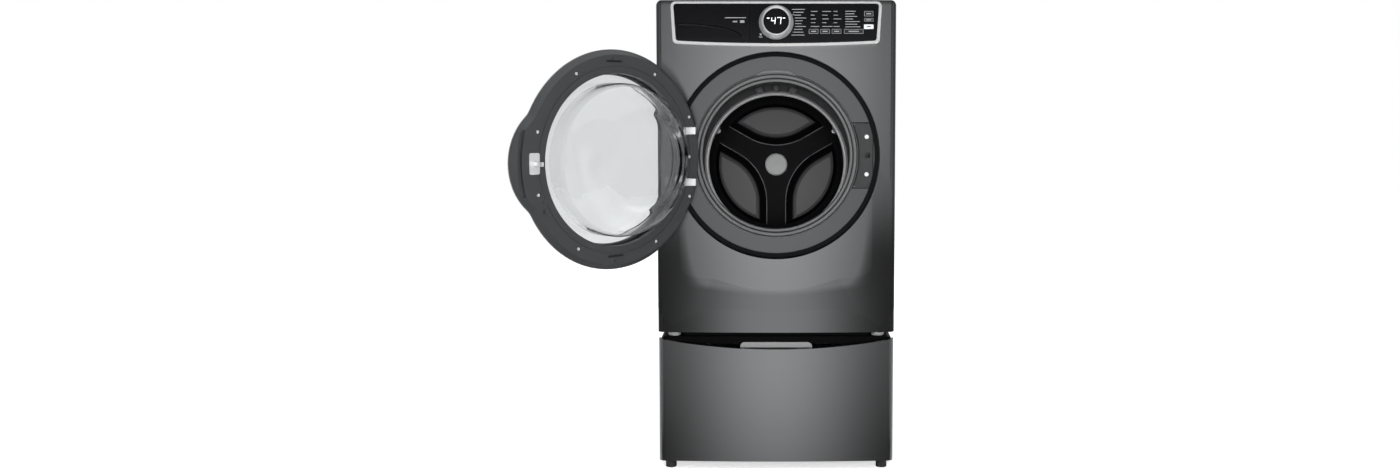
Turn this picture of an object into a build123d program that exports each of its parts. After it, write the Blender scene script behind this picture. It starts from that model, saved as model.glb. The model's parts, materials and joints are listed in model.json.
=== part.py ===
from build123d import *
import os
from math import cos, hypot, radians, sin, sqrt, tan

os.makedirs("parts", exist_ok=True)

# Overall sizes of the washer and its pedestal, in mm
WIDTH = 686.0
DEPTH = 680.0
CABINET_H = 955.0
PEDESTAL_H = 366.0
FLOOR_GAP = 24.0
FOOT_GAP = 17.0
FRONT_BOW = 10.0
SKIRT_LEAN = 0.5
PAD_GROW = 200.0
PAD_DEEP = 13.0
EDGE_R = 17.0
TOP_R = 18.0
SHEET = 1.5

# Door, its opening in the front panel and its hinge
DOOR_R = 294.0
DOOR_OPEN = 135.0
DOOR_RIM = 83.0
RECESS_DEPTH = 28.0
HANDLE_R = 160.0
HANDLE_OUT = 32.0
HINGE_IN = 39.0
HINGE_PIN_R = 4.0
CONSOLE_TO_DOOR = 11.5

# Console across the top of the front
CONSOLE_HALF_W = 300.0
CONSOLE_H = 127.0
CONSOLE_UP = 886.0
CONSOLE_LEAN = 6.0
CONSOLE_PLATE = 6.0
DISPENSER_SEAM = -74.7
KNOB_R = 49.0
KNOB_BOSS_R = 36.0
KEY_TRAVEL = 1.0

# Tub, drum and drive, all on one axis that drops towards the back
DRUM_TILT = 4.0
DRUM_DROP = 20.0
DRUM_R = 274.0
DRUM_MOUTH_R = 200.0
DRUM_DEPTH = 361.0
TUB_GAP = 22.0
SHAFT_R = 17.0
PULLEY_R = 150.0
MOTOR_PULLEY_R = 12.0
MOTOR_R = 55.0

# Pedestal drawer
GRIP_SAG = 30.0
GRIP_HALF_W = 105.0
GRIP_DROP = 17.0

# Fits
RUN_FIT = 0.05
LOOSE = 0.5
JOINT_GAP = 0.3

# Derived places
HALF_W = WIDTH / 2
FRONT_Y = -DEPTH / 2
BACK_Y = DEPTH / 2
NOSE_Y = FRONT_Y - FRONT_BOW
PED_Z0 = FLOOR_GAP
PED_Z1 = PED_Z0 + PEDESTAL_H
CAB_Z0 = PED_Z1 + FOOT_GAP
CAB_Z1 = CAB_Z0 + CABINET_H
RECESS_R = DOOR_R + 5.0
MOUTH_R = DOOR_R - DOOR_RIM
HANDLE_X = DOOR_R + HANDLE_OUT - HANDLE_R
HINGE_X = DOOR_R - HINGE_IN
DOOR_Z = CAB_Z0 + CONSOLE_UP - CONSOLE_H / 2 - CONSOLE_TO_DOOR - RECESS_R
RETURN_Y = FRONT_Y + 25.0
LID_Z = CAB_Z1 - TOP_R - 2.0
ANNULUS_Y = NOSE_Y + RECESS_DEPTH
DOOR_BACK_Y = NOSE_Y
HINGE_Y = NOSE_Y - 22.0
CONSOLE_Y = NOSE_Y - 7.6
CONSOLE = Location((0, CONSOLE_Y, CAB_Z0 + CONSOLE_UP), (-CONSOLE_LEAN, 0, 0))
AXIS = Location((0, ANNULUS_Y + 4.0, DOOR_Z - DRUM_DROP), (-DRUM_TILT, 0, 0))
SLOPE = tan(radians(DRUM_TILT))

# Derived stations along the drum axis, measured back from the front of the gasket
TUB_R = DRUM_R + TUB_GAP
MOTOR_DROP = TUB_R + MOTOR_R + 11.0
COLLAR_R = MOUTH_R + 21.0
TUB_V0 = 72.0
TUB_WALL = 4.0
DRUM_V0 = TUB_V0 + 24.0
DRUM_V1 = DRUM_V0 + DRUM_DEPTH
TUB_SPLIT = TUB_V0 + 128.0
TUB_V1 = DRUM_V1 + 36.0
HUB_R = 52.0
HUB_V1 = TUB_V1 + 52.0
PULLEY_V0 = HUB_V1 + 6.0
PULLEY_W = 16.0
BEARING_R = 40.0
BELT = 4.0

# Derived places of the suspension, with the drum axis at the middle of the tub
MID_V = (TUB_V0 + TUB_V1) / 2 - 20.0
MID_Y = ANNULUS_Y + 4.0 + MID_V
MID_Z = DOOR_Z - DRUM_DROP - MID_V * SLOPE
SPRING_X = TUB_R - 66.0
SPRING_R = 12.0
SPRING_TOP = LID_Z - 46.0
SPRING_FOOT = MID_Z + sqrt(TUB_R ** 2 - SPRING_X ** 2) + 70.0
DAMPER_X = TUB_R - 96.0
DAMPER_Y = MID_Y + 30.0
DAMPER_EAR = MID_Z - sqrt(TUB_R ** 2 - DAMPER_X ** 2) - 24.0
ROD_R = 6.0
DAMPER_R = 16.0
BOUNCE = 12.0

# Derived places on the back
REAR_ACCESS_R = 190.0
REAR_ACCESS_Z = DOOR_Z - 65.0
INLET_R = 13.2
DRAIN_R = 11.0
GLAND_R = 9.0
INLET_X = (163.0 - HALF_W, 223.0 - HALF_W)
INLET_Z = CAB_Z1 - 72.0
DRAIN_X = HALF_W - 143.0
DRAIN_Z = CAB_Z1 - 182.0
GLAND_X = 93.0 - HALF_W
GLAND_Z = CAB_Z1 - 112.0
PORT_OUT = 22.0
REAR_PORTS = [(x, INLET_Z, INLET_R) for x in INLET_X]
REAR_PORTS = REAR_PORTS + [(DRAIN_X, DRAIN_Z, DRAIN_R), (GLAND_X, GLAND_Z, GLAND_R)]

# Places on the console, drawn about its own middle
SEAM_GAP = 0.4
KNOB_Z = 4.5
KNOB_TOP = 24.0
KEY_ROW = -21.0
KEY_COLUMN = 262.0
KEY_X = 106.0
KEY_PITCH = 32.4
KEY_W = 28.0
KEY_H = 14.5
START_Z = 29.2
START_H = 15.6
PAUSE_Z = START_Z - 17.2
PAUSE_H = 10.4
POWER_Z = PAUSE_Z - 19.5
POWER_H = 12.7
KEYS = {
    "temp": (KEY_X, KEY_ROW, KEY_W, KEY_H),
    "soil": (KEY_X + KEY_PITCH, KEY_ROW, KEY_W, KEY_H),
    "spin": (KEY_X + 2 * KEY_PITCH, KEY_ROW, KEY_W, KEY_H),
    "options": (KEY_X + 3.5 * KEY_PITCH, KEY_ROW, 2 * KEY_W, KEY_H),
    "start": (KEY_COLUMN, START_Z, KEY_W - 1, START_H),
    "pause": (KEY_COLUMN, PAUSE_Z, KEY_W - 1, PAUSE_H),
    "power": (KEY_COLUMN, POWER_Z, KEY_W - 1, POWER_H),
}
TRIM_PROUD = 4.0
POCKET = (-280.0, -92.0, -38.0, 3.0)
BOX_X0 = DISPENSER_SEAM + 6.0
BOX_X1 = CONSOLE_HALF_W - 19.0
BOX_Z0 = -CONSOLE_H / 2 + 20.0
BOX_Z1 = CONSOLE_H / 2 - 16.0

# Detergent drawer and its housing
DISP_X0 = -284.0
DISP_X1 = DISPENSER_SEAM - 11.0
DISP_Z0 = CAB_Z0 + CONSOLE_UP - 43.0
DISP_Z1 = DISP_Z0 + 80.0
DISP_Y0 = NOSE_Y + 18.0
DISP_Y1 = DISP_Y0 + 205.0
HOUSING_GAP = 2.0
HOUSING_WALL = 2.5

# Surround ring, lock, hinge and door, drawn about the middle of the door
LOCK_X = DOOR_R - 30.0
LOCK_SLOT = (14.0, 16.0)
RING_OUT = RECESS_R - SHEET - 1.0
RING_IN = DOOR_R - 10.0
RING_Y = ANNULUS_Y - 10.0
LOCK_HALF_H = 94.0
ARM_Z = (40.0, 61.0)
LUG_Z = (63.0, 83.0)
LUG_IN = 14.5
LUG_W = 12.0
KNUCKLE_R = 8.0
FRAME_T = 17.0
FRAME_Y = DOOR_BACK_Y - FRAME_T
DOME_W = 48.0
DOME_H = 34.0
GLASS_R = MOUTH_R + 24.0
WINDOW_R = MOUTH_R + 21.0
SWING = Pos(-HINGE_X, HINGE_Y, DOOR_Z) * Rot(0, 0, -DOOR_OPEN) * Pos(HINGE_X, -HINGE_Y, 0)
SCREW_R = DOOR_R - 32.0
SCREW_ANGLES = (17.7, -17.7, 60.0, -60.0, 119.0, -119.0)
HINGE_SCREW_X = -HINGE_X + 6.0
HINGE_SCREW_Z = (-112.0, 0.0, 112.0)

# Drum pressings and the motor
MOTOR_V0 = TUB_V1 - 100.0
ARM_ANGLES = (30.0, 150.0, 270.0)
DRUM_SHEET = 2.0
LOBE_H = 28.0
LOBE_R = 198.0
HUB_CAP_R = 36.0

# Pedestal and its drawer
PED_HALF_W = HALF_W - 3.0
PED_WALL = 2.0
DECK_H = 22.0
DRAWER_BACK = FRONT_Y + EDGE_R + 5.0
DRAWER_HALF_W = HALF_W - 2.0
DRAWER_Z0 = PED_Z0 + 4.0
DRAWER_Z1 = PED_Z1 - 2.0
BIN_X = HALF_W - 43.0
BIN_Z0 = PED_Z0 + 26.0
BIN_Z1 = BIN_Z0 + 250.0
BIN_Y1 = BACK_Y - 70.0

# Feet
WASHER_FOOT_R = 18.5
PEDESTAL_FOOT_R = 16.0


def four_corners(x_inset, y_inset):
    """Four places near the corners of the plan."""
    x = HALF_W - x_inset
    y = DEPTH / 2 - y_inset
    return [(sx * x, sy * y) for sx in (-1, 1) for sy in (-1, 1)]


# Derived places of the feet
WASHER_FEET = four_corners(45.0, 50.0)
PEDESTAL_FEET = four_corners(33.0, 40.0)


# Shapes used again and again
def box(x0, x1, y0, y1, z0, z1):
    """Block between two corners."""
    return Pos((x0 + x1) / 2, (y0 + y1) / 2, (z0 + z1) / 2) * Box(x1 - x0, y1 - y0, z1 - z0)


def prism_y(sketch, y0, y1):
    """Sketch drawn in X and Z, filled from y0 to y1."""
    plane = Plane((0, y1, 0), x_dir=(1, 0, 0), z_dir=(0, -1, 0))
    return extrude(plane * sketch, amount=y1 - y0)


def disc_y(r, y0, y1, x=0.0, z=0.0):
    """Cylinder along Y."""
    return prism_y(Pos(x, z) * Circle(r), y0, y1)


def ring_y(r0, r1, y0, y1, x=0.0, z=0.0):
    """Ring along Y."""
    return prism_y(Pos(x, z) * (Circle(r1) - Circle(r0)), y0, y1)


def turned_y(points, x=0.0, z=0.0):
    """Body turned about a line along Y from (radius, y) points."""
    face = make_face(Polyline(*points, close=True).edges())
    return Pos(x, 0, z) * revolve(face, Axis.Y)


def post_z(r, x, y, z0, z1):
    """Upright cylinder."""
    return Pos(x, y, (z0 + z1) / 2) * Cylinder(r, z1 - z0)


def rect_at(x0, x1, z0, z1):
    """Rectangle between two corners, drawn in X and Z."""
    return Pos((x0 + x1) / 2, (z0 + z1) / 2) * Rectangle(x1 - x0, z1 - z0)


def joined(parts):
    """All the parts in one body."""
    first, *rest = parts
    for part in rest:
        first = first + part
    return first


def mirrored_x(shape):
    """The shape and its mirror image."""
    return [shape, mirror(shape, Plane.YZ)]


# Cabinet skin
def bowed_plan(inset, back_y, half_w):
    """Plan of the bowed front, rounded at its two upright edges."""
    w = half_w - inset
    y = FRONT_Y + inset
    arc = ThreePointArc((-w, y), (0, y - FRONT_BOW), (w, y))
    sides = Polyline((w, y), (w, back_y), (-w, back_y), (-w, y))
    face = make_face(arc.edges() + sides.edges())
    return fillet(face.vertices().sort_by(Axis.Y)[:2], EDGE_R - inset)


def top_outline(inset, z0):
    """Front outline of the cabinet with its rounded upper corners."""
    shape = rect_at(-HALF_W + inset, HALF_W - inset, z0, CAB_Z1 - inset)
    return fillet(shape.vertices().sort_by(Axis.Y)[-2:], TOP_R - inset)


def front_body(inset, back_y, z0):
    """Solid inside the front skin, before the skirt leans back."""
    plan = Pos(0, 0, z0) * extrude(bowed_plan(inset, back_y, HALF_W), amount=CAB_Z1 - z0)
    return plan & prism_y(top_outline(inset, z0), NOSE_Y - 1, back_y)


def pad_outline(grow):
    """Outline of the proud field round the door, down to its sagging lower edge."""
    x1 = HALF_W - 182.0 + grow
    z0 = DOOR_Z - DOOR_R - 81.0 - grow
    z1 = z0 + 111.0
    lower = ThreePointArc((-x1, z1), (0, z0), (x1, z1))
    rest = Polyline((x1, z1), (x1, DOOR_Z + DOOR_R), (-x1, DOOR_Z + DOOR_R), (-x1, z1))
    face = make_face(lower.edges() + rest.edges())
    return fillet(face.vertices().sort_by(Axis.Y)[:2], 70.0 + grow / 2)


def leaned_body(inset, back_y, z0):
    """Front skin solid whose skirt leans back below the door, outside the proud field."""
    whole = front_body(inset, back_y, z0)
    lean = Pos(0, NOSE_Y, DOOR_Z) * Rot(SKIRT_LEAN, 0, 0) * Pos(0, -NOSE_Y, -DOOR_Z)
    leaned = lean * front_body(inset, back_y + EDGE_R, z0 - EDGE_R)
    y0 = NOSE_Y - 1 + inset
    y1 = y0 + PAD_DEEP
    near = Plane((0, y0, 0), x_dir=(1, 0, 0), z_dir=(0, -1, 0))
    far = Plane((0, y1, 0), x_dir=(1, 0, 0), z_dir=(0, -1, 0))
    pad = loft([near * pad_outline(-inset), far * pad_outline(PAD_GROW - inset)], ruled=True)
    pad = pad + prism_y(pad_outline(PAD_GROW - inset), y1, back_y)
    return whole & (leaned + pad)


def console_shape(side, top, bottom, r):
    """Outline of the console, drawn about its own middle."""
    x1 = CONSOLE_HALF_W - side
    x0 = x1 - 8.0
    z1 = CONSOLE_H / 2 - top
    zm = -CONSOLE_H / 2 + bottom
    z0 = zm + 7.5
    lower = ThreePointArc((-x0, z0), (0, zm), (x0, z0))
    upper = Polyline((x0, z0), (x1, z1), (-x1, z1), (-x0, z0))
    face = make_face(lower.edges() + upper.edges())
    return fillet(face.vertices(), r)


TRIM_OUT = console_shape(0, 0, 0, 14.0)
TRIM_IN = console_shape(8.4, 5.5, 8.5, 8.0)
PLATE_OUT = console_shape(7.9, 5.0, 8.0, 8.4)
CUT_OUT = console_shape(5.0, 3.0, 5.0, 11.0)


def left_of_seam(shape, gap):
    """The part of a console piece left of the dispenser seam."""
    return shape & box(-WIDTH, DISPENSER_SEAM - gap, -WIDTH, WIDTH, -WIDTH, 2 * CAB_Z1)


def right_of_seam(shape, gap):
    """The part of a console piece right of the dispenser seam."""
    return shape & box(DISPENSER_SEAM + gap, WIDTH, -WIDTH, WIDTH, -WIDTH, 2 * CAB_Z1)


def make_front_panel():
    """Bowed front sheet with the recess for the door and the opening for the console."""
    skin = leaned_body(0, RETURN_Y, CAB_Z0) - leaned_body(SHEET, RETURN_Y + 1, CAB_Z0 - 1)
    skin = skin - disc_y(RECESS_R, NOSE_Y - 1, RETURN_Y, z=DOOR_Z)
    wall = ring_y(RECESS_R - SHEET, RECESS_R + 0.4, NOSE_Y, ANNULUS_Y + SHEET, z=DOOR_Z)
    wall = wall & front_body(0, RETURN_Y + 1, CAB_Z0)
    floor = ring_y(MOUTH_R + 27, RECESS_R, ANNULUS_Y, ANNULUS_Y + SHEET, z=DOOR_Z)
    panel = skin + wall + floor
    slot_w, slot_h = LOCK_SLOT
    slot = rect_at(LOCK_X - slot_w / 2, LOCK_X + slot_w / 2, DOOR_Z - slot_h / 2, DOOR_Z + slot_h / 2)
    panel = panel - prism_y(slot, ANNULUS_Y - 1, ANNULUS_Y + SHEET + 1)
    return panel - CONSOLE * prism_y(CUT_OUT, -30, 40)


def make_side_panel():
    """Right side sheet with turned-in flanges and a shelf that holds a spring."""
    x0 = HALF_W - SHEET
    y0 = RETURN_Y + LOOSE
    y1 = BACK_Y - 2 * SHEET
    sheet = box(x0, HALF_W, y0, BACK_Y, CAB_Z0, LID_Z)
    flange = box(x0 - 18, x0, y0, y1, LID_Z - SHEET, LID_Z)
    foot = box(x0 - 18, x0, y0, y1, CAB_Z0, CAB_Z0 + SHEET)
    shelf = box(SPRING_X - 16, x0, MID_Y - 20, MID_Y + 20, SPRING_TOP, SPRING_TOP + 4)
    web = box(x0 - 4, x0, MID_Y - 20, MID_Y + 20, SPRING_TOP - 40, SPRING_TOP)
    return sheet + flange + foot + shelf + web


def make_top_panel():
    """Lid with rounded side edges, open underneath."""
    outer = prism_y(top_outline(0, LID_Z), RETURN_Y + LOOSE, BACK_Y)
    inner = prism_y(top_outline(2.0, LID_Z - 1), RETURN_Y + LOOSE + 2.0, BACK_Y - 2.0)
    return outer - inner


def make_rear_panel():
    """Rear sheet with the access opening and holes for the water, drain and power parts."""
    x1 = HALF_W - SHEET
    sheet = rect_at(-x1, x1, CAB_Z0, LID_Z) - Pos(0, REAR_ACCESS_Z) * Circle(REAR_ACCESS_R - 14)
    for x, z, r in REAR_PORTS:
        sheet = sheet - Pos(x, z) * Circle(r + LOOSE)
    return prism_y(sheet, BACK_Y - SHEET, BACK_Y)


def make_rear_access_cover():
    """Shallow dished cover on the back, held over the drive opening."""
    y = BACK_Y
    rim = ring_y(REAR_ACCESS_R - 20, REAR_ACCESS_R, y, y + SHEET, z=REAR_ACCESS_Z)
    dish = turned_y(
        [
            (0, y + 10),
            (REAR_ACCESS_R - 36, y + 10),
            (REAR_ACCESS_R - 20, y),
            (REAR_ACCESS_R - 16, y),
            (REAR_ACCESS_R - 16, y + SHEET),
            (REAR_ACCESS_R - 20, y + SHEET),
            (REAR_ACCESS_R - 36, y + 10 + SHEET),
            (0, y + 10 + SHEET),
        ],
        z=REAR_ACCESS_Z,
    )
    return rim + dish


def make_base_frame():
    """Tray round the bottom of the cabinet with upturned rims, foot bosses and a skirt between the feet."""
    x1 = HALF_W - SHEET
    y0 = FRONT_Y + EDGE_R + 12
    y1 = BACK_Y - SHEET
    z0 = CAB_Z0 + SHEET
    z1 = z0 + 2.5
    room = DAMPER_X - DAMPER_R - 14
    tray = box(-x1, x1, y0, y1, z0, z1) - box(-room, room, y0 + 110, y1 - 150, z0 - 1, z1 + 1)
    rims = [box(x1 - 2.5, x1, y0, y1, z0, z0 + 38), box(-x1, 2.5 - x1, y0, y1, z0, z0 + 38)]
    rims = rims + [box(-x1, x1, y0, y0 + 2.5, z0, z0 + 38), box(-x1, x1, y1 - 2.5, y1, z0, z0 + 38)]
    bosses = [post_z(24, x, y, CAB_Z0, z1) for x, y in WASHER_FEET]
    x2 = HALF_W - 75
    skirt = box(-x2, x2, y0, y1, PED_Z1 + 2, z1) - box(2.5 - x2, x2 - 2.5, y0 + 2.5, y1 - 2.5, PED_Z1, z1 + 1)
    return joined([tray] + rims + bosses + [skirt])


def make_washer_feet():
    """Four round feet that stand on the pedestal deck."""
    feet = [post_z(WASHER_FOOT_R, x, y, PED_Z1, CAB_Z0) for x, y in WASHER_FEET]
    return Compound(children=[chamfer(f.edges().group_by(Axis.Z)[0], 2.0) for f in feet])


def make_pedestal_feet():
    """Four round levelling feet on the floor."""
    return Compound(children=[post_z(PEDESTAL_FOOT_R, x, y, 0, PED_Z0) for x, y in PEDESTAL_FEET])


# Console pieces, drawn about the console's own middle and then leaned back


def make_trim():
    """Bright frame of the whole console, cut at the back to the bow of the front panel."""
    lip = prism_y(TRIM_OUT - TRIM_IN, -TRIM_PROUD, 0)
    skirt = prism_y(TRIM_OUT - console_shape(7.6, 4.7, 7.7, 8.7), 0, 30)
    lip = chamfer(lip.faces().sort_by(Axis.Y)[0].edges(), 1.2)
    return CONSOLE * (lip + skirt) - front_body(-JOINT_GAP, RETURN_Y, CAB_Z0)


def knob_bead(r, gap):
    """Groove or bead that keeps the knob on its boss."""
    return [(r, -7.5 - gap), (r - 1.5 + gap, -7.5 - gap), (r - 1.5 + gap, -10.5 + gap), (r, -10.5 + gap)]


def make_console_fascia():
    """Gloss panel right of the dispenser, with key openings and the fixed display boss."""
    plate = right_of_seam(prism_y(PLATE_OUT, 0, CONSOLE_PLATE), SEAM_GAP)
    for x, z, w, h in KEYS.values():
        hole = Pos(x, z) * RectangleRounded(w + 2 * JOINT_GAP, h + 2 * JOINT_GAP, 2.3)
        plate = plate - prism_y(hole, -1, CONSOLE_PLATE + 1)
    r = KNOB_BOSS_R
    profile = [(0, 2), (r, 2)] + knob_bead(r, 0.0) + [(r, 1.5 - KNOB_TOP), (r - 1, 0.5 - KNOB_TOP)]
    boss = turned_y(profile + [(r - 3, 0.5 - KNOB_TOP), (r - 4, 2 - KNOB_TOP), (0, 2 - KNOB_TOP)], z=KNOB_Z)
    return CONSOLE * (plate + boss)


def make_selector_knob():
    """Bright tapered ring that turns round the display boss."""
    r = KNOB_BOSS_R + RUN_FIT
    profile = [(r, -1)] + knob_bead(r, 0.3) + [(r, -KNOB_TOP), (r + 1, -KNOB_TOP - 1)]
    profile = profile + [(r + 3, -KNOB_TOP - 0.5), (r + 5, -KNOB_TOP + 2)]
    profile = profile + [(KNOB_R, -4), (KNOB_R, -2), (KNOB_R - 1, -1)]
    return CONSOLE * turned_y(profile, z=KNOB_Z)


def make_key(name):
    """One push key with the flange that holds it behind the panel."""
    x, z, w, h = KEYS[name]
    y0 = CONSOLE_PLATE + JOINT_GAP
    cap = prism_y(Pos(x, z) * RectangleRounded(w, h, 2.0), -1.0, y0 + 1.5)
    cap = chamfer(cap.faces().sort_by(Axis.Y)[0].edges(), 0.4)
    flange = prism_y(Pos(x, z) * Rectangle(w + 1, h + 3), y0, y0 + 1.5)
    return CONSOLE * (cap + flange)


def make_control_board_box():
    """Open-fronted box behind the panel, with its board."""
    outer = prism_y(rect_at(BOX_X0, BOX_X1, BOX_Z0, BOX_Z1), CONSOLE_PLATE, 44)
    inner = prism_y(rect_at(BOX_X0 + 2.5, BOX_X1 - 2.5, BOX_Z0 + 2.5, BOX_Z1 - 2.5), CONSOLE_PLATE, 41.5)
    board = prism_y(rect_at(BOX_X0 + 2, BOX_X1 - 2, BOX_Z0 + 2, BOX_Z1 - 2), 16, 18)
    return CONSOLE * (outer - inner + board)


# Detergent dispenser


def make_dispenser_housing():
    """Open-fronted tray holder hung from the lid."""
    g = HOUSING_GAP
    w = HOUSING_WALL
    y0 = DISP_Y0 - 2.0
    y1 = DISP_Y1 + 4.0
    outer = box(DISP_X0 - g - w, DISP_X1 + g + w, y0, y1 + w, DISP_Z0 - g - w, DISP_Z1 + 8 + w)
    inner = box(DISP_X0 - g, DISP_X1 + g, y0 - 1, y1, DISP_Z0 - g, DISP_Z1 + 8)
    spots = [(x, y) for x in (-240, -130) for y in (-260, -160)]
    posts = [box(x - 8, x + 8, y - 8, y + 8, DISP_Z1 + 8, CAB_Z1 - 2.0) for x, y in spots]
    jets = [disc_y(INLET_R - 2, y1 + w, y1 + w + 20, x=x, z=DISP_Z1 - 4) for x in INLET_X]
    return joined([outer - inner] + posts + jets)


def make_dispenser_drawer():
    """Pull-out tray with three compartments."""
    t = 2.2
    tray = box(DISP_X0, DISP_X1, DISP_Y0, DISP_Y1, DISP_Z0, DISP_Z1)
    cells = 3
    pitch = (DISP_X1 - DISP_X0 - t) / cells
    for i in range(cells):
        x0 = DISP_X0 + t + i * pitch
        tray = tray - box(x0, x0 + pitch - t, DISP_Y0 + t, DISP_Y1 - t, DISP_Z0 + t, DISP_Z1 + 1)
    return tray


def make_dispenser_front():
    """Gloss front of the dispenser with a scooped finger pocket."""
    plate = left_of_seam(prism_y(PLATE_OUT, 0, CONSOLE_PLATE), SEAM_GAP)
    px0, px1, pz0, pz1 = POCKET
    block = prism_y(rect_at(px0 - 4, px1, pz0 - 1, pz1 + 38), CONSOLE_PLATE - 1, 40)
    oval = Pos(px0, pz0) * Ellipse(px1 - px0 - 4, pz1 - pz0)
    mouth = oval & rect_at(px0, px1, pz0, pz1)
    mouth = fillet(mouth.vertices(), 5.0)
    scoop = prism_y(mouth, -1, 14)
    scoop = fillet(scoop.faces().sort_by(Axis.Y)[-1].edges(), 3.0)
    front = CONSOLE * (plate + block)
    front = front - box(-WIDTH, WIDTH, DISP_Y0, WIDTH, 0, CAB_Z1)
    return front - CONSOLE * scoop


# Door opening: surround ring, lock, hinge bracket and gasket


def make_door_surround_ring():
    """Dark ring round the recess, eased on the handle side."""
    ring = ring_y(RING_IN, RING_OUT, RING_Y, ANNULUS_Y, z=DOOR_Z)
    ring = chamfer(ring.faces().sort_by(Axis.Y)[0].edges(), 2.0)
    half = DOOR_R * sin(radians(16.0))
    return ring - box(RING_IN - 20, RECESS_R, RING_Y - 1, RING_Y + 4, DOOR_Z - half, DOOR_Z + half)


def make_door_lock():
    """Latch plate on the recess floor with the lock body behind it."""
    plate = rect_at(MOUTH_R + 15, LOCK_X + 14, -LOCK_HALF_H, LOCK_HALF_H)
    plate = fillet(plate.vertices(), 10.0)
    plate = plate & (Circle(RING_IN - 1.0) - Circle(MOUTH_R + 28.0))
    slot_w, slot_h = LOCK_SLOT
    slot = Pos(LOCK_X, 0) * Rectangle(slot_w, slot_h)
    front = prism_y(plate - slot, ANNULUS_Y - 3, ANNULUS_Y)
    y0 = ANNULUS_Y + SHEET
    case = prism_y(rect_at(LOCK_X - 14, LOCK_X + 20, -40, 40) - slot, y0, y0 + 20)
    back = prism_y(rect_at(LOCK_X - 14, LOCK_X + 20, -40, 40), y0 + 20, y0 + 23)
    neck = prism_y(Pos(LOCK_X, 0) * Rectangle(slot_w, slot_h), ANNULUS_Y - 1, y0 + 1)
    neck = neck - prism_y(Pos(LOCK_X, 0) * Rectangle(slot_w - 2, slot_h - 2), ANNULUS_Y - 2, y0 + 2)
    return Pos(0, 0, DOOR_Z) * (front + case + back + neck)


def lug_plan():
    """Plan of one gooseneck lug, from the pin back to the recess floor."""
    x0 = -HINGE_X + LUG_IN
    neck = Pos((-HINGE_X + x0 + LUG_W) / 2, HINGE_Y - KNUCKLE_R / 2)
    bar = neck * Rectangle(LUG_IN + LUG_W, KNUCKLE_R)
    y0 = HINGE_Y - KNUCKLE_R
    leg = Pos(x0 + LUG_W / 2, (y0 + ANNULUS_Y) / 2) * Rectangle(LUG_W, ANNULUS_Y - y0)
    return bar + leg + Pos(-HINGE_X, HINGE_Y) * Circle(KNUCKLE_R)


def make_hinge_bracket():
    """Strap on the recess floor with two lugs and their pins."""
    strap = box(-HINGE_X - 12, -HINGE_X + LUG_IN, ANNULUS_Y - 4, ANNULUS_Y, -LUG_Z[1] - 10, LUG_Z[1] + 10)
    pieces = [strap]
    for sign in (1, -1):
        z0, z1 = sorted((sign * LUG_Z[0], sign * LUG_Z[1]))
        pieces.append(Pos(0, 0, z0) * extrude(lug_plan(), amount=z1 - z0))
        p0, p1 = sorted((sign * (ARM_Z[0] - 1), sign * LUG_Z[1]))
        pieces.append(post_z(HINGE_PIN_R, -HINGE_X, HINGE_Y, p0, p1))
    return Pos(0, 0, DOOR_Z) * joined(pieces)


def make_door_gasket():
    """Soft seal: a lip in the recess and a sleeve back to the tub collar."""
    y0 = ANNULUS_Y - 22.0
    y1 = ANNULUS_Y + 4.0
    r = MOUTH_R
    lip = turned_y(
        [
            (r, y0 + 3),
            (r + 3, y0),
            (r + 9, y0),
            (r + 10, y0 + 3),
            (r + 12, y0 + 3),
            (r + 13, y0),
            (r + 18, y0 + 1),
            (r + 19, y0 + 4),
            (r + 21, y0 + 4),
            (r + 22, y0 + 2),
            (r + 25, y0 + 6),
            (r + 25, y1 - 5),
            (r + 15, y1),
            (r, y1),
        ],
        z=DOOR_Z,
    )
    tab = prism_y((Circle(r + 33) - Circle(r + 24)) & rect_at(-58, 58, 0, 2 * r), y0 + 6, y0 + 14)
    start = Plane((0, y1, DOOR_Z), x_dir=(1, 0, 0), z_dir=(0, 1, 0))
    end = Plane(AXIS * Location((0, TUB_V0 - 12 - JOINT_GAP, 0))) * Plane.XZ.offset(0)
    outer = loft([start * Circle(r + 14), end * Circle(COLLAR_R + 6)])
    inner = loft([start * Circle(r + 1), end * Circle(COLLAR_R)])
    return lip + Pos(0, 0, DOOR_Z) * tab + (outer - inner)


# Door, drawn shut about its own middle and then swung open


def door_outline(inset):
    """Round door outline with the handle bulge, its hollows rounded."""
    shape = Circle(DOOR_R - inset) + Pos(HANDLE_X, 0) * Circle(HANDLE_R - inset)
    hollows = [v for v in shape.vertices() if abs(v.Y) > HANDLE_R / 3]
    return fillet(hollows, 60.0 + inset)


def screw_places():
    """Centres of the door screws."""
    ring = [(SCREW_R * cos(radians(a)), SCREW_R * sin(radians(a))) for a in SCREW_ANGLES]
    return ring + [(HINGE_SCREW_X, z) for z in HINGE_SCREW_Z]


def lug_zone(x0, x1, y0, y1):
    """Room for both hinge lugs."""
    z0 = LUG_Z[0] - 2
    z1 = LUG_Z[1] + 2
    return box(x0, x1, y0, y1, z0, z1) + box(x0, x1, y0, y1, -z1, -z0)


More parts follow.
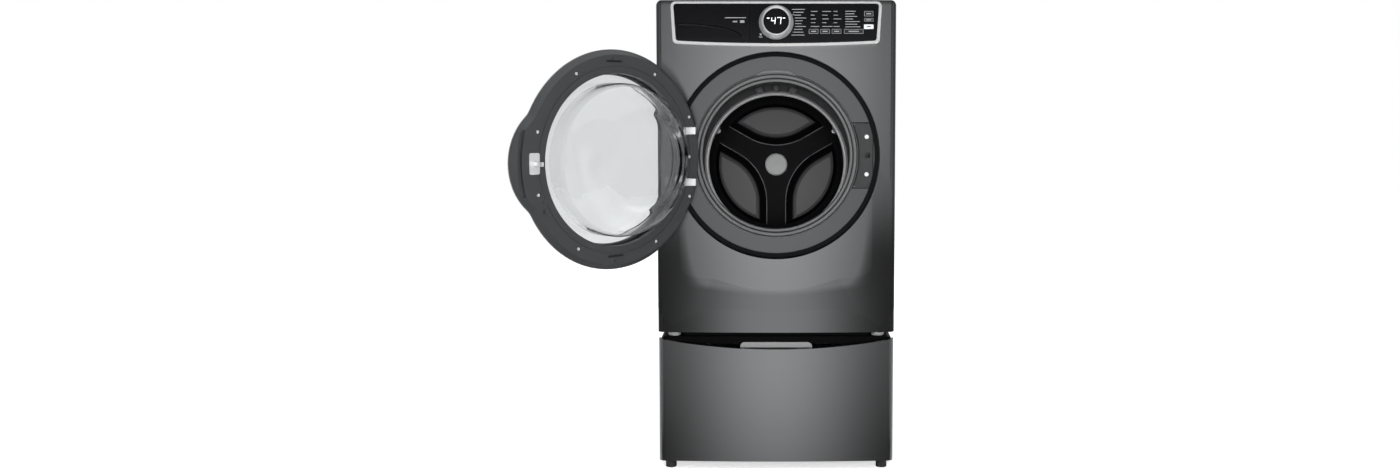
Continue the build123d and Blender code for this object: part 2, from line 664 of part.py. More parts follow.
def make_door_inner_frame():
    """Dark inner frame with sunk screws, bumpers, a finger groove and hinge slots."""
    y1 = DOOR_BACK_Y
    body = prism_y(door_outline(1.0), FRAME_Y, y1)
    body = chamfer(body.faces().sort_by(Axis.Y)[-1].edges(), 13.0)
    body = body - disc_y(GLASS_R - 5, FRAME_Y - 1, y1 + 1)
    body = body - ring_y(GLASS_R + 13, GLASS_R + 15, y1 - 1.5, y1 + 1)
    groove = (Circle(DOOR_R + 16) - Circle(DOOR_R + 4)) & rect_at(0, 2 * DOOR_R, -84, 84)
    body = body - prism_y(groove, y1 - 7, y1 + 1)
    for x, z in screw_places():
        body = body - disc_y(6.0, y1 - 4, y1 + 1, x=x, z=z)
    for sign in (1, -1):
        bump = prism_y(Pos(0, sign * (GLASS_R + 34)) * SlotOverall(34, 9), y1 - 1, y1 + 2.5)
        body = body + bump
    body = body + disc_y(5.0, y1 - 1, y1 + 4, x=SCREW_R * cos(radians(28)), z=-SCREW_R * sin(radians(28)))
    slots = lug_zone(-DOOR_R - 10, -HINGE_X + LUG_IN + LUG_W + 3, FRAME_Y - 1, y1 + 1)
    body = body - (slots - disc_y(GLASS_R + 0.8, FRAME_Y - 2, y1 + 2))
    for z0 in (ARM_Z[0] - 1, -ARM_Z[1] - 1):
        z1 = z0 + ARM_Z[1] - ARM_Z[0] + 2
        body = body - box(-HINGE_X - 10, -HINGE_X + 10, FRAME_Y - 1, HINGE_Y + KNUCKLE_R + 2, z0, z1)
    return body


def dome_line(inset):
    """Outside of the domed rim as (radius, y), from the door's edge to the window."""
    r = DOOR_R - 8.0 - inset
    y = FRAME_Y - 3.0 + inset
    turns = [radians(a) for a in (0, 22.5, 45, 67.5, 90)]
    return [(r - (DOME_W - inset) * (1 - cos(a)), y - DOME_H * sin(a)) for a in turns]


def make_door_outer_shell():
    """Domed outer skin with the window ledge and room for the hinge lugs."""
    t = 3.0
    plate = prism_y(door_outline(0) - Circle(DOOR_R - 12), FRAME_Y - t, FRAME_Y)
    outside = dome_line(0)
    r, y = outside[-1]
    ledge = [(WINDOW_R + 0.4, y), (WINDOW_R + 0.4, y + 4), (WINDOW_R - 5, y + 4)]
    ledge = ledge + [(WINDOW_R - 5, y + 7), (r - 1, y + 7)]
    inside = dome_line(t)[-2:0:-1]
    dome = turned_y(outside + ledge + inside + [(DOOR_R - 12, FRAME_Y), (DOOR_R - 8, FRAME_Y)])
    x0 = -HINGE_X
    far = 60.0
    cut = sqrt(2) * (LUG_IN - 1.5)
    wedge = [(x0 + 24 - cut, HINGE_Y + 24), (x0 - 30 - cut, HINGE_Y - 30)]
    wedge = wedge + [(x0 - far, HINGE_Y - 30), (x0 - far, HINGE_Y + 24)]
    wedge = make_face(Polyline(*wedge, close=True).edges())
    shell = plate + dome
    for z0 in (LUG_Z[0] - 2, -LUG_Z[1] - 2):
        shell = shell - Pos(0, 0, z0) * extrude(wedge, amount=LUG_Z[1] - LUG_Z[0] + 4)
    return shell


def bowl_line(r, deep):
    """Half profile of the bowl from its rim to its middle, as (radius, y)."""
    wall = [(r, 0), (r - 4, 50), (r - 22, deep - 33), (r - 60, deep - 6)]
    places = [(x, FRAME_Y + y) for x, y in wall] + [(0, FRAME_Y + deep)]
    return Spline(*places, tangents=((-0.04, 1), (-1, 0)))


def make_door_glass():
    """Clear bowl with its flange against the inner frame."""
    y0 = FRAME_Y - 4
    r = MOUTH_R - 5
    outer = bowl_line(r, 120.0)
    inner = bowl_line(r - 6, 115.0)
    flange = Polyline((r - 6, FRAME_Y), (r - 6, y0), (GLASS_R, y0), (GLASS_R, FRAME_Y), (r, FRAME_Y))
    middle = Line((0, FRAME_Y + 120), (0, FRAME_Y + 115))
    face = make_face(outer.edges() + inner.edges() + flange.edges() + middle.edges())
    return revolve(face, Axis.Y)


def make_door_window():
    """Clear outer window in its ledge."""
    y = FRAME_Y - 3.0 - DOME_H
    return disc_y(WINDOW_R, y, y + 4)


def make_door_striker():
    """Bright plate and hook that enter the lock."""
    y = DOOR_BACK_Y
    plate = prism_y(Pos(LOCK_X - 2, 0) * RectangleRounded(30, 54, 5), y, y + 2)
    hook = prism_y(Pos(LOCK_X - 1, 0) * Rectangle(5, 11), y + 1, ANNULUS_Y + 12)
    eye = prism_y(Pos(LOCK_X - 1, 0) * Rectangle(20, 5), ANNULUS_Y + 1, ANNULUS_Y + 8)
    return plate + (hook - eye)


def make_door_hinge():
    """Plate on the inner frame with two knuckles for the pins."""
    plate = box(-HINGE_X - 15, -HINGE_X + 8, FRAME_Y - 4, FRAME_Y, -ARM_Z[1], ARM_Z[1])
    pieces = [plate]
    for sign in (1, -1):
        z0, z1 = sorted((sign * ARM_Z[0], sign * ARM_Z[1]))
        pieces.append(post_z(KNUCKLE_R, -HINGE_X, HINGE_Y, z0, z1))
    hinge = joined(pieces)
    for sign in (1, -1):
        z0, z1 = sorted((sign * (ARM_Z[0] - 3), sign * ARM_Z[1]))
        hinge = hinge - post_z(HINGE_PIN_R + RUN_FIT, -HINGE_X, HINGE_Y, z0, z1)
    return hinge


def make_door_screws():
    """Screw heads sunk in the inner frame."""
    y1 = DOOR_BACK_Y
    heads = []
    for x, z in screw_places():
        head = disc_y(4.5, y1 - 4, y1 - 1.0, x=x, z=z)
        head = chamfer(head.faces().sort_by(Axis.Y)[-1].edges(), 0.8)
        heads.append(head - prism_y(Pos(x, z) * (Rectangle(5, 1.2) + Rectangle(1.2, 5)), y1 - 2.2, y1))
    return Compound(children=heads)


# Tub, drawn along its own axis
def make_tub_front():
    """Front half of the tub with the gasket collar."""
    r = TUB_R
    t = TUB_WALL
    half = [
        (COLLAR_R, TUB_V0 - 12),
        (COLLAR_R + 6, TUB_V0 - 12),
        (COLLAR_R + 6, TUB_V0),
        (r, TUB_V0),
        (r, TUB_SPLIT - 8),
        (r + 12, TUB_SPLIT - 8),
        (r + 12, TUB_SPLIT),
        (r - t, TUB_SPLIT),
        (r - t, TUB_V0 + t),
        (COLLAR_R, TUB_V0 + t),
    ]
    return AXIS * turned_y(half)


def make_tub_rear():
    """Rear half of the tub with the bearing hub and ears for springs, dampers and motor."""
    r = TUB_R
    t = TUB_WALL
    hub = [(r - t, TUB_V1 - 8), (HUB_R, TUB_V1 - 8), (HUB_R, TUB_V1 - 16), (BEARING_R, TUB_V1 - 16)]
    seat = [(BEARING_R, TUB_V1 + 2), (BEARING_R - 6, TUB_V1 + 2)]
    seat = seat + [(BEARING_R - 6, TUB_V1 + 27), (BEARING_R, TUB_V1 + 27)]
    back = [(BEARING_R, HUB_V1), (HUB_R, HUB_V1), (HUB_R, TUB_V1), (r, TUB_V1)]
    rim = [(r, TUB_SPLIT + 8), (r + 12, TUB_SPLIT + 8), (r + 12, TUB_SPLIT), (r - t, TUB_SPLIT)]
    shell = AXIS * turned_y(hub + seat + back + rim)
    ears = []
    for sign in (1, -1):
        x = sign * SPRING_X
        ears.append(box(x - 14, x + 14, MID_Y - 14, MID_Y + 14, SPRING_FOOT - 90, SPRING_FOOT))
        x = sign * DAMPER_X
        ears.append(box(x - 14, x + 14, DAMPER_Y - 14, DAMPER_Y + 14, DAMPER_EAR, DAMPER_EAR + 50))
    ears.append(AXIS * box(-45, 45, MOTOR_V0 + 20, MOTOR_V0 + 80, -TUB_R - 9, -TUB_R + 8))
    return shell + (joined(ears) - AXIS * disc_y(r - t / 2, 0, HUB_V1))


def make_counterweight():
    """Heavy ring on the front of the tub."""
    ring = ring_y(COLLAR_R + 14, TUB_R, TUB_V0 - 30, TUB_V0)
    return AXIS * chamfer(ring.faces().sort_by(Axis.Y)[0].edges(), 4.0)


def make_drum_bearings():
    """Two ball bearings, drawn as plain rings."""
    r0 = SHAFT_R + RUN_FIT
    r1 = BEARING_R - RUN_FIT
    front = ring_y(r0, r1, TUB_V1 - 16, TUB_V1 + 2)
    rear = ring_y(r0, r1, TUB_V1 + 27, TUB_V1 + 45)
    return AXIS * Compound(children=[front, rear])


def make_drive_motor():
    """Motor hung under the tub."""
    can = disc_y(MOTOR_R, MOTOR_V0, HUB_V1 - 8, z=-MOTOR_DROP)
    block = box(-45, 45, MOTOR_V0 + 20, MOTOR_V0 + 80, -MOTOR_DROP + 20, -TUB_R - 9)
    shaft = disc_y(6.0, HUB_V1 - 9, PULLEY_V0 + PULLEY_W + 2, z=-MOTOR_DROP)
    collar = disc_y(9.0, HUB_V1 - 9, PULLEY_V0 - LOOSE, z=-MOTOR_DROP)
    return AXIS * joined([can, block, collar, shaft])


def make_motor_pulley():
    """Small grooved pulley on the motor shaft."""
    r = MOTOR_PULLEY_R
    pulley = ring_y(6.0 + RUN_FIT, r, PULLEY_V0, PULLEY_V0 + PULLEY_W, z=-MOTOR_DROP)
    return AXIS * pulley


def make_drive_belt():
    """Flat belt round both pulleys."""
    big = PULLEY_R + JOINT_GAP
    small = MOTOR_PULLEY_R + JOINT_GAP
    far = Pos(0, -MOTOR_DROP)
    inner = make_hull(Circle(big).edges() + (far * Circle(small)).edges())
    outer = make_hull(Circle(big + BELT).edges() + (far * Circle(small + BELT)).edges())
    return AXIS * prism_y(outer - inner, PULLEY_V0 + 2, PULLEY_V0 + PULLEY_W - 2)


def make_suspension_springs():
    """Two hanger springs between the side shelves and the tub ears."""
    springs = []
    for sign in (1, -1):
        tube = post_z(SPRING_R, sign * SPRING_X, MID_Y, SPRING_FOOT, SPRING_TOP)
        springs.append(tube - post_z(SPRING_R - 3, sign * SPRING_X, MID_Y, SPRING_FOOT + 4, SPRING_TOP - 4))
    return Compound(children=springs)


def make_damper_bodies():
    """Two damper tubes standing on the base."""
    z0 = CAB_Z0 + SHEET + 2.5
    z1 = DAMPER_EAR - 2 * BOUNCE - 10
    tubes = []
    for sign in (1, -1):
        tube = post_z(DAMPER_R, sign * DAMPER_X, DAMPER_Y, z0, z1)
        tubes.append(tube - post_z(ROD_R + RUN_FIT, sign * DAMPER_X, DAMPER_Y, z0 + 20, z1))
    return Compound(children=tubes)


def make_damper_rods():
    """Two damper rods under the tub ears."""
    length = 120.0
    rods = [post_z(ROD_R, s * DAMPER_X, DAMPER_Y, DAMPER_EAR - length, DAMPER_EAR) for s in (1, -1)]
    return Compound(children=rods)


# Drum, drawn along its own axis


def make_drum_shell():
    """Drum wall with its rolled mouth and a rim for the back."""
    r = DRUM_R
    t = DRUM_SHEET
    m = DRUM_MOUTH_R
    v0 = DRUM_V0
    v1 = DRUM_V1
    lip = [(m + 7, v0 - 4), (m + 2, v0 - 4), (m, v0 - 1), (m, v0 + 3)]
    mouth = lip + [(m + 3, v0 + 3), (m + 3, v0), (m + 7, v0)]
    wall = [(m + 14, v0 + t), (r - t, v0 + t), (r - t, v1), (r - 12, v1)]
    rim = [(r - 12, v1 + t), (r, v1 + t), (r, v0), (m + 14, v0)]
    return AXIS * turned_y(mouth + wall + rim)


def star(half_w, r):
    """Three-armed valley outline with rounded hollows."""
    arms = [Rot(0, 0, a) * Pos(DRUM_R / 2, 0) * Rectangle(DRUM_R, 2 * half_w) for a in ARM_ANGLES]
    shape = joined(arms)
    near = half_w * 2 / sqrt(3) + 1
    return fillet([v for v in shape.vertices() if hypot(v.X, v.Y) < near], r)


def make_drum_back():
    """Back of the drum with three raised lobes and a valley between them."""
    v1 = DRUM_V1
    v0 = v1 - DRUM_SHEET
    plate = disc_y(DRUM_R - DRUM_SHEET - JOINT_GAP, v0, v1)
    v = v0 - LOBE_H
    lobes = turned_y([(0, v0), (LOBE_R, v0), (LOBE_R - 12, v + 6), (LOBE_R - 20, v), (0, v)])
    low = Plane((0, v0, 0), x_dir=(1, 0, 0), z_dir=(0, -1, 0))
    high = Plane((0, v - 1, 0), x_dir=(1, 0, 0), z_dir=(0, -1, 0))
    valley = loft([low * star(31.0, 182.0), high * star(67.0, 146.0)], ruled=True)
    under = [(0, v1 + 1), (LOBE_R - 3, v1 + 1), (LOBE_R - 15, v + 8), (LOBE_R - 22, v + 3), (0, v + 3)]
    inside = turned_y(under)
    deep = Plane((0, v1 + 1, 0), x_dir=(1, 0, 0), z_dir=(0, -1, 0))
    ribs = loft([deep * star(34.0, 179.0), high * star(70.0, 143.0)], ruled=True)
    solid = plate + (lobes - valley) - (inside - ribs)
    return AXIS * solid


def make_hub_cap():
    """Light round cap at the middle of the drum back."""
    v0 = DRUM_V1 - DRUM_SHEET
    r = HUB_CAP_R
    return AXIS * turned_y([(0, v0), (r, v0), (r, v0 - 5), (r - 4, v0 - 9), (0, v0 - 10)])


def make_drum_lifters():
    """Three lifters along the drum wall."""
    r1 = DRUM_R - DRUM_SHEET - JOINT_GAP
    r0 = r1 - 54.0
    v0 = DRUM_V0 + DRUM_SHEET
    v1 = DRUM_V1 - 30.0
    section = make_face(Polyline((r0, -14), (r1 + 20, -62), (r1 + 20, 62), (r0, 14), close=True).edges())
    section = fillet(section.vertices().sort_by(Axis.X)[:2], 10.0) & Circle(r1)
    core = make_face(Polyline((r0 + 4, -10), (r1 - 5, -42), (r1 - 5, 42), (r0 + 4, 10), close=True).edges())
    lifters = []
    for a in ARM_ANGLES:
        lifter = prism_y(Rot(0, 0, a) * section, v0, v1) - prism_y(Rot(0, 0, a) * core, v0 + 3, v1 + 1)
        lifters.append(lifter)
    return AXIS * Compound(children=lifters)


def make_drum_spider():
    """Three-armed carrier behind the drum with its shaft."""
    v0 = DRUM_V1 + DRUM_SHEET
    arms = [prism_y(Rot(0, 0, a) * rect_at(0, DRUM_R - 6, -20, 20), v0, v0 + 14) for a in ARM_ANGLES]
    hub = disc_y(44, DRUM_V1, v0 + 14)
    shaft = disc_y(SHAFT_R, v0, PULLEY_V0)
    stub = disc_y(SHAFT_R - 5, v0, PULLEY_V0 + PULLEY_W + 3)
    return AXIS * joined(arms + [hub, shaft, stub])


def make_drum_pulley():
    """Large spoked pulley on the end of the drum shaft."""
    v0 = PULLEY_V0
    v1 = v0 + PULLEY_W
    rim = ring_y(PULLEY_R - 8, PULLEY_R, v0, v1)
    hub = ring_y(SHAFT_R - 5 + RUN_FIT, 34, v0, v1)
    spoke = rect_at(30, PULLEY_R - 4, -11, 11)
    spokes = [prism_y(Rot(0, 0, a) * spoke, v0 + 3, v1 - 3) for a in range(0, 360, 60)]
    return AXIS * joined([rim, hub] + spokes)


# Water, drain and power parts on the back
def make_water_valve():
    """Twin inlet valve with two threaded spigots through the back."""
    y1 = BACK_Y - SHEET
    x0 = INLET_X[0] - 28
    x1 = INLET_X[1] + 28
    body = box(x0, x1, y1 - 46, y1, INLET_Z - 24, INLET_Z + 24)
    necks = [disc_y(INLET_R - 2, y1 - 1, BACK_Y + 3, x=x, z=INLET_Z) for x in INLET_X]
    spigots = [disc_y(INLET_R, BACK_Y + 2, BACK_Y + PORT_OUT, x=x, z=INLET_Z) for x in INLET_X]
    bores = [disc_y(INLET_R - 5, BACK_Y - 4, BACK_Y + PORT_OUT + 1, x=x, z=INLET_Z) for x in INLET_X]
    return joined([body] + necks + spigots) - joined(bores)


def make_drain_outlet():
    """Drain spigot through the back."""
    y1 = BACK_Y - SHEET
    flange = disc_y(DRAIN_R + 9, y1 - 6, y1, x=DRAIN_X, z=DRAIN_Z)
    neck = disc_y(DRAIN_R - 1, y1 - 40, BACK_Y + 3, x=DRAIN_X, z=DRAIN_Z)
    tube = disc_y(DRAIN_R, BACK_Y + 2, BACK_Y + PORT_OUT, x=DRAIN_X, z=DRAIN_Z)
    bore = disc_y(DRAIN_R - 4, y1 - 41, BACK_Y + PORT_OUT + 1, x=DRAIN_X, z=DRAIN_Z)
    return flange + neck + tube - bore


def make_power_gland():
    """Bushing where the supply cord would leave the cabinet."""
    y1 = BACK_Y - SHEET
    flange = disc_y(GLAND_R + 5, y1 - 4, y1, x=GLAND_X, z=GLAND_Z)
    tube = disc_y(GLAND_R, y1 - 14, BACK_Y + 12, x=GLAND_X, z=GLAND_Z)
    bore = disc_y(GLAND_R - 4, y1 - 15, BACK_Y + 13, x=GLAND_X, z=GLAND_Z)
    return flange + tube - bore


def make_drain_pump():
    """Drain pump on the base."""
    z0 = CAB_Z0 + SHEET + 2.5
    x = HALF_W - 107
    y0 = FRONT_Y + 80
    foot = box(x - 50, x + 50, y0, y0 + 110, z0, z0 + 8)
    can = disc_y(36, y0 + 6, y0 + 104, x=x, z=z0 + 42)
    return foot + can


# Pedestal


def make_pedestal_shell():
    """Open-fronted box with inner bottom flanges."""
    x1 = PED_HALF_W
    t = PED_WALL
    y0 = DRAWER_BACK + 4.0
    z1 = PED_Z1 - DECK_H
    walls = box(-x1, x1, y0, BACK_Y, PED_Z0, z1)
    walls = walls - box(t - x1, x1 - t, y0 - 1, BACK_Y - t, PED_Z0 + t, z1 + 1)
    floor = box(-x1 + 60, x1 - 60, y0 + 60, BACK_Y - 60, PED_Z0 - 1, PED_Z0 + t + 1)
    return walls - floor


def make_pedestal_deck():
    """Deck with rounded side edges that closes the top of the pedestal."""
    x1 = PED_HALF_W
    y0 = DRAWER_BACK + 4.0
    shape = rect_at(-x1, x1, PED_Z1 - DECK_H, PED_Z1)
    shape = fillet(shape.vertices().sort_by(Axis.Y)[-2:], EDGE_R)
    room = rect_at(3 - x1, x1 - 3, PED_Z1 - DECK_H - 1, PED_Z1 - 3)
    room = fillet(room.vertices().sort_by(Axis.Y)[-2:], EDGE_R - 3)
    return prism_y(shape, y0, BACK_Y) - prism_y(room, y0 + 3, BACK_Y - 3)


def make_drawer_runners():
    """Two runners on the inner sides of the pedestal."""
    x1 = PED_HALF_W - PED_WALL
    z = (BIN_Z0 + BIN_Z1) / 2
    x0 = BIN_X + LOOSE + 4
    rail = box(x0, x1, DRAWER_BACK + 20, BIN_Y1, z - 22, z + 22)
    rail = rail - box(x0 + 3, x1 - 3, DRAWER_BACK + 19, BIN_Y1 + 1, z - 19, z + 19)
    lip = box(BIN_X - 8, BIN_X + 6, DRAWER_BACK + 20, BIN_Y1, z - 6, z + 6)
    return Compound(children=mirrored_x(rail + lip))


def drawer_outline(inset):
    """Front outline of the drawer with its sagging top edge."""
    x1 = DRAWER_HALF_W - inset
    z0 = DRAWER_Z0 + inset
    z1 = DRAWER_Z1 - inset
    top = ThreePointArc((-x1, z1), (0, z1 - GRIP_SAG), (x1, z1))
    rest = Polyline((x1, z1), (x1, z0), (-x1, z0), (-x1, z1))
    return make_face(top.edges() + rest.edges())


def make_drawer_front():
    """Bowed drawer front, hollow behind, with a dipped top edge to pull by."""
    plan = Pos(0, 0, PED_Z0) * extrude(bowed_plan(0, DRAWER_BACK, DRAWER_HALF_W), amount=PEDESTAL_H)
    body = plan & prism_y(drawer_outline(0), NOSE_Y - 1, DRAWER_BACK)
    core = Pos(0, 0, PED_Z0) * extrude(bowed_plan(2.5, DRAWER_BACK + 1, DRAWER_HALF_W), amount=PEDESTAL_H)
    core = core & prism_y(drawer_outline(2.5), NOSE_Y - 1, DRAWER_BACK + 1)
    posts = [box(x - 4, x + 4, NOSE_Y, DRAWER_BACK, BIN_Z0, BIN_Z1) for x in (-BIN_X + 30, BIN_X - 30)]
    ribs = joined(posts) & plan
    grip = box(-GRIP_HALF_W, GRIP_HALF_W, NOSE_Y + 6, DRAWER_BACK + 1, PED_Z1 - GRIP_SAG - 12, PED_Z1)
    return body - core - grip + ribs


def make_drawer_bin():
    """Open-topped bin with runner channels and a raised grip tongue at the front."""
    t = 2.5
    y0 = DRAWER_BACK
    y1 = BIN_Y1 - 10
    z = (BIN_Z0 + BIN_Z1) / 2
    outer = box(-BIN_X, BIN_X, y0, y1, BIN_Z0, BIN_Z1)
    channel = box(BIN_X - 8.5, BIN_X + 1, y0 + 10, y1 + 1, z - 6.5, z + 6.5)
    sleeve = box(BIN_X - 11, BIN_X, y0, y1, z - 9, z + 9)
    inner = box(-BIN_X + t, BIN_X - t, y0 + t, y1 - t, BIN_Z0 + t, BIN_Z1 + 1)
    body = outer - inner
    for shape in mirrored_x(sleeve):
        body = body + shape
    for shape in mirrored_x(channel):
        body = body - shape
    tongue = rect_at(-GRIP_HALF_W, GRIP_HALF_W, BIN_Z1 - 1, PED_Z1 - GRIP_DROP)
    tongue = fillet(tongue.vertices().sort_by(Axis.Y)[-2:], 13.0)
    return body + prism_y(tongue, y0, y0 + t)


# Save the cabinet
right_side = make_side_panel()
export_step(right_side, "parts/right_side_panel.step")
export_step(mirror(right_side, Plane.YZ), "parts/left_side_panel.step")
export_step(make_base_frame(), "parts/base_frame.step")
export_step(make_rear_panel(), "parts/rear_panel.step")
export_step(make_rear_access_cover(), "parts/rear_access_cover.step")
export_step(make_top_panel(), "parts/top_panel.step")
export_step(make_front_panel(), "parts/front_panel.step")
export_step(make_door_surround_ring(), "parts/door_surround_ring.step")
export_step(make_door_lock(), "parts/door_lock.step")
export_step(make_hinge_bracket(), "parts/hinge_bracket.step")
export_step(make_console_fascia(), "parts/console_fascia.step")
export_step(make_control_board_box(), "parts/control_board_box.step")
export_step(make_dispenser_housing(), "parts/dispenser_housing.step")
export_step(make_water_valve(), "parts/water_valve.step")
export_step(make_drain_pump(), "parts/drain_pump.step")
export_step(make_drain_outlet(), "parts/drain_outlet.step")
export_step(make_power_gland(), "parts/power_gland.step")
export_step(make_door_gasket(), "parts/door_gasket.step")
export_step(make_suspension_springs(), "parts/suspension_springs.step")
export_step(make_damper_bodies(), "parts/damper_bodies.step")
export_step(make_washer_feet(), "parts/washer_feet.step")
export_step(make_pedestal_shell(), "parts/pedestal_shell.step")
export_step(make_pedestal_deck(), "parts/pedestal_deck.step")
export_step(make_drawer_runners(), "parts/drawer_runners.step")
export_step(make_pedestal_feet(), "parts/pedestal_feet.step")

# Save the console and the dispenser
trim = make_trim()
export_step(right_of_seam(trim, SEAM_GAP), "parts/console_trim.step")
export_step(left_of_seam(trim, SEAM_GAP), "parts/dispenser_trim.step")
export_step(make_selector_knob(), "parts/selector_knob.step")
export_step(make_dispenser_drawer(), "parts/dispenser_drawer.step")
export_step(make_dispenser_front(), "parts/dispenser_front.step")
export_step(make_key("temp"), "parts/temp_key.step")
export_step(make_key("soil"), "parts/soil_key.step")
export_step(make_key("spin"), "parts/spin_key.step")
export_step(make_key("options"), "parts/options_key.step")
export_step(make_key("start"), "parts/start_key.step")
export_step(make_key("pause"), "parts/pause_key.step")
export_step(make_key("power"), "parts/power_key.step")

# Save the door, swung open
export_step(SWING * make_door_outer_shell(), "parts/door_outer_shell.step")
export_step(SWING * make_door_inner_frame(), "parts/door_inner_frame.step")
export_step(SWING * make_door_glass(), "parts/door_glass.step")
export_step(SWING * make_door_window(), "parts/door_window.step")
export_step(SWING * make_door_striker(), "parts/door_striker.step")
export_step(SWING * make_door_hinge(), "parts/door_hinge.step")
export_step(SWING * make_door_screws(), "parts/door_screws.step")

# Save the tub, the drum and the drive
export_step(make_tub_rear(), "parts/tub_rear.step")
export_step(make_tub_front(), "parts/tub_front.step")
export_step(make_counterweight(), "parts/counterweight.step")
export_step(make_drum_bearings(), "parts/drum_bearings.step")
export_step(make_drive_motor(), "parts/drive_motor.step")
export_step(make_drive_belt(), "parts/drive_belt.step")
export_step(make_damper_rods(), "parts/damper_rods.step")
export_step(make_drum_shell(), "parts/drum_shell.step")
export_step(make_drum_back(), "parts/drum_back.step")
export_step(make_drum_lifters(), "parts/drum_lifters.step")
export_step(make_drum_spider(), "parts/drum_spider.step")
export_step(make_hub_cap(), "parts/hub_cap.step")
export_step(make_drum_pulley(), "parts/drum_pulley.step")
export_step(make_motor_pulley(), "parts/motor_pulley.step")

# Save the pedestal drawer
export_step(make_drawer_front(), "parts/drawer_front.step")
export_step(make_drawer_bin(), "parts/drawer_bin.step")
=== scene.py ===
import json
from math import cos, pi, radians, sin, sqrt, tan

import bmesh
import bpy
from mathutils import Matrix, Vector


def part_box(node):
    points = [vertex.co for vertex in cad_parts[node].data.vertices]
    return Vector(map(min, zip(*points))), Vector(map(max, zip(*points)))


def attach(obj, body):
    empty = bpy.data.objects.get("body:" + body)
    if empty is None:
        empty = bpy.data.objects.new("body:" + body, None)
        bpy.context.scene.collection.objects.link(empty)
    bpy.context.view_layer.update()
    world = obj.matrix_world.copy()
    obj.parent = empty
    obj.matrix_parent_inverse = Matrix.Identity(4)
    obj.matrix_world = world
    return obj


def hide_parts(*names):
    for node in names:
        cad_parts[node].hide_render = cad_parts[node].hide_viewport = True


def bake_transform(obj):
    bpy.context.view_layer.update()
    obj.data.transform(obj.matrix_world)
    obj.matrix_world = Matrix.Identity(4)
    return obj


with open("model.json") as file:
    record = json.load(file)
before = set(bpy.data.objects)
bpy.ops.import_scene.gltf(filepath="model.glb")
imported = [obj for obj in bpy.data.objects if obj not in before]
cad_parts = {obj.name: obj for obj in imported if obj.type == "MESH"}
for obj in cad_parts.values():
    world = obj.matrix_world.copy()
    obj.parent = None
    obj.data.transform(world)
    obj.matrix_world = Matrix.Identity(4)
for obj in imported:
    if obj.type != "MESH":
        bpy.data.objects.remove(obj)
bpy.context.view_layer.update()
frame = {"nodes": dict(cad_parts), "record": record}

bl_info = {
    "name": "Front Load Washer Dresser",
    "version": (1, 0, 0),
    "blender": (4, 5, 0),
    "location": "View3D > Sidebar > Washer",
    "description": "Finishes and small parts of a front load washing machine on a drawer pedestal",
    "category": "Object",
}

JOINTS = {j["name"]: j for j in frame["record"]["behaviour"]["joints"]}
NODES_OF_SLOT = {}
for sub in frame["record"]["subparts"]:
    NODES_OF_SLOT.setdefault(sub["material_slot"], []).append(sub["node"])


# Places of the leaned and tilted groups, read from the frame
def along(joint):
    """Matrix whose Y runs along a joint's axis, with its origin on the joint."""
    y = Vector(JOINTS[joint]["axis"]).normalized()
    x = y.cross(Vector((0, 0, 1))).normalized()
    turn = Matrix((x, y, x.cross(y))).transposed()
    return Matrix.Translation(Vector(JOINTS[joint]["pos_m"])) @ turn.to_4x4()


def centre(node):
    """Middle of a solid's box."""
    low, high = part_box(node)
    return (low + high) / 2


def round_y(angle, r=1.0):
    """Point on a circle round the Y axis, at an angle up from X in radians."""
    return Vector((r * cos(angle), 0, r * sin(angle)))


KNOB = along("selector_turn")
DRUM = along("drum_spin")
HINGE = Matrix.Translation(Vector(JOINTS["door_hinge"]["pos_m"]))
DOOR = HINGE @ Matrix.Rotation(-radians(JOINTS["door_hinge"]["range_deg"][1]), 4, "Z") @ HINGE.inverted()
FRONT = Vector((0, -1, 0))
BACK = Vector((0, 1, 0))
RIGHT = Vector((1, 0, 0))

# Stations along the drum's axis, and the angles of its arms, which end at the lifters
DRUM_DEPTH = 0.3546
HUB_V = (DRUM.inverted() @ centre("hub_cap")).y
WALL_V = HUB_V - DRUM_DEPTH
ARMS = (30, 150, 270)


def on_drum(p, v):
    """Place at a point across the drum's axis and a station along it."""
    return DRUM @ (p + Vector((0, v, 0)))


# The print's middle stands above the knob's axis, and clears the panel
PRINT_UP = 0.0025
PRINT_LIFT = 0.0003


def on_panel(x, z):
    """Place on the face of the console, from the print's middle, in metres."""
    return KNOB @ Vector((x, -PRINT_LIFT, z + PRINT_UP))


# Sizes and colours that a user may change
def colour_setting(name, description, default):
    """Colour property."""
    return bpy.props.FloatVectorProperty(
        name=name, description=description, subtype="COLOR", size=3, min=0, max=1, default=default)


def length_setting(name, description, low, high, default):
    """Length property, in metres."""
    return bpy.props.FloatProperty(
        name=name, description=description, unit="LENGTH", min=low, max=high, default=default)


class WasherFinishes(bpy.types.PropertyGroup):
    """Colours of the painted, moulded and metal parts."""

    paint: colour_setting(
        "Cabinet paint", "Metallic graphite paint of the cabinet and drawer", (0.27, 0.275, 0.28))
    charcoal: colour_setting(
        "Charcoal plastic", "Moulded ring and inner frame of the door", (0.042, 0.044, 0.046))
    seal: colour_setting(
        "Door seal", "Grey rubber of the door seal", (0.15, 0.153, 0.155))
    chrome: colour_setting(
        "Bright metal", "Polished trim, knob, hinge and striker", (0.82, 0.82, 0.83))
    stainless: colour_setting(
        "Drum steel", "Stainless sheet of the drum", (0.42, 0.42, 0.43))
    print_white: colour_setting(
        "Panel print", "Printed and lit marks on the console", (0.75, 0.77, 0.78))


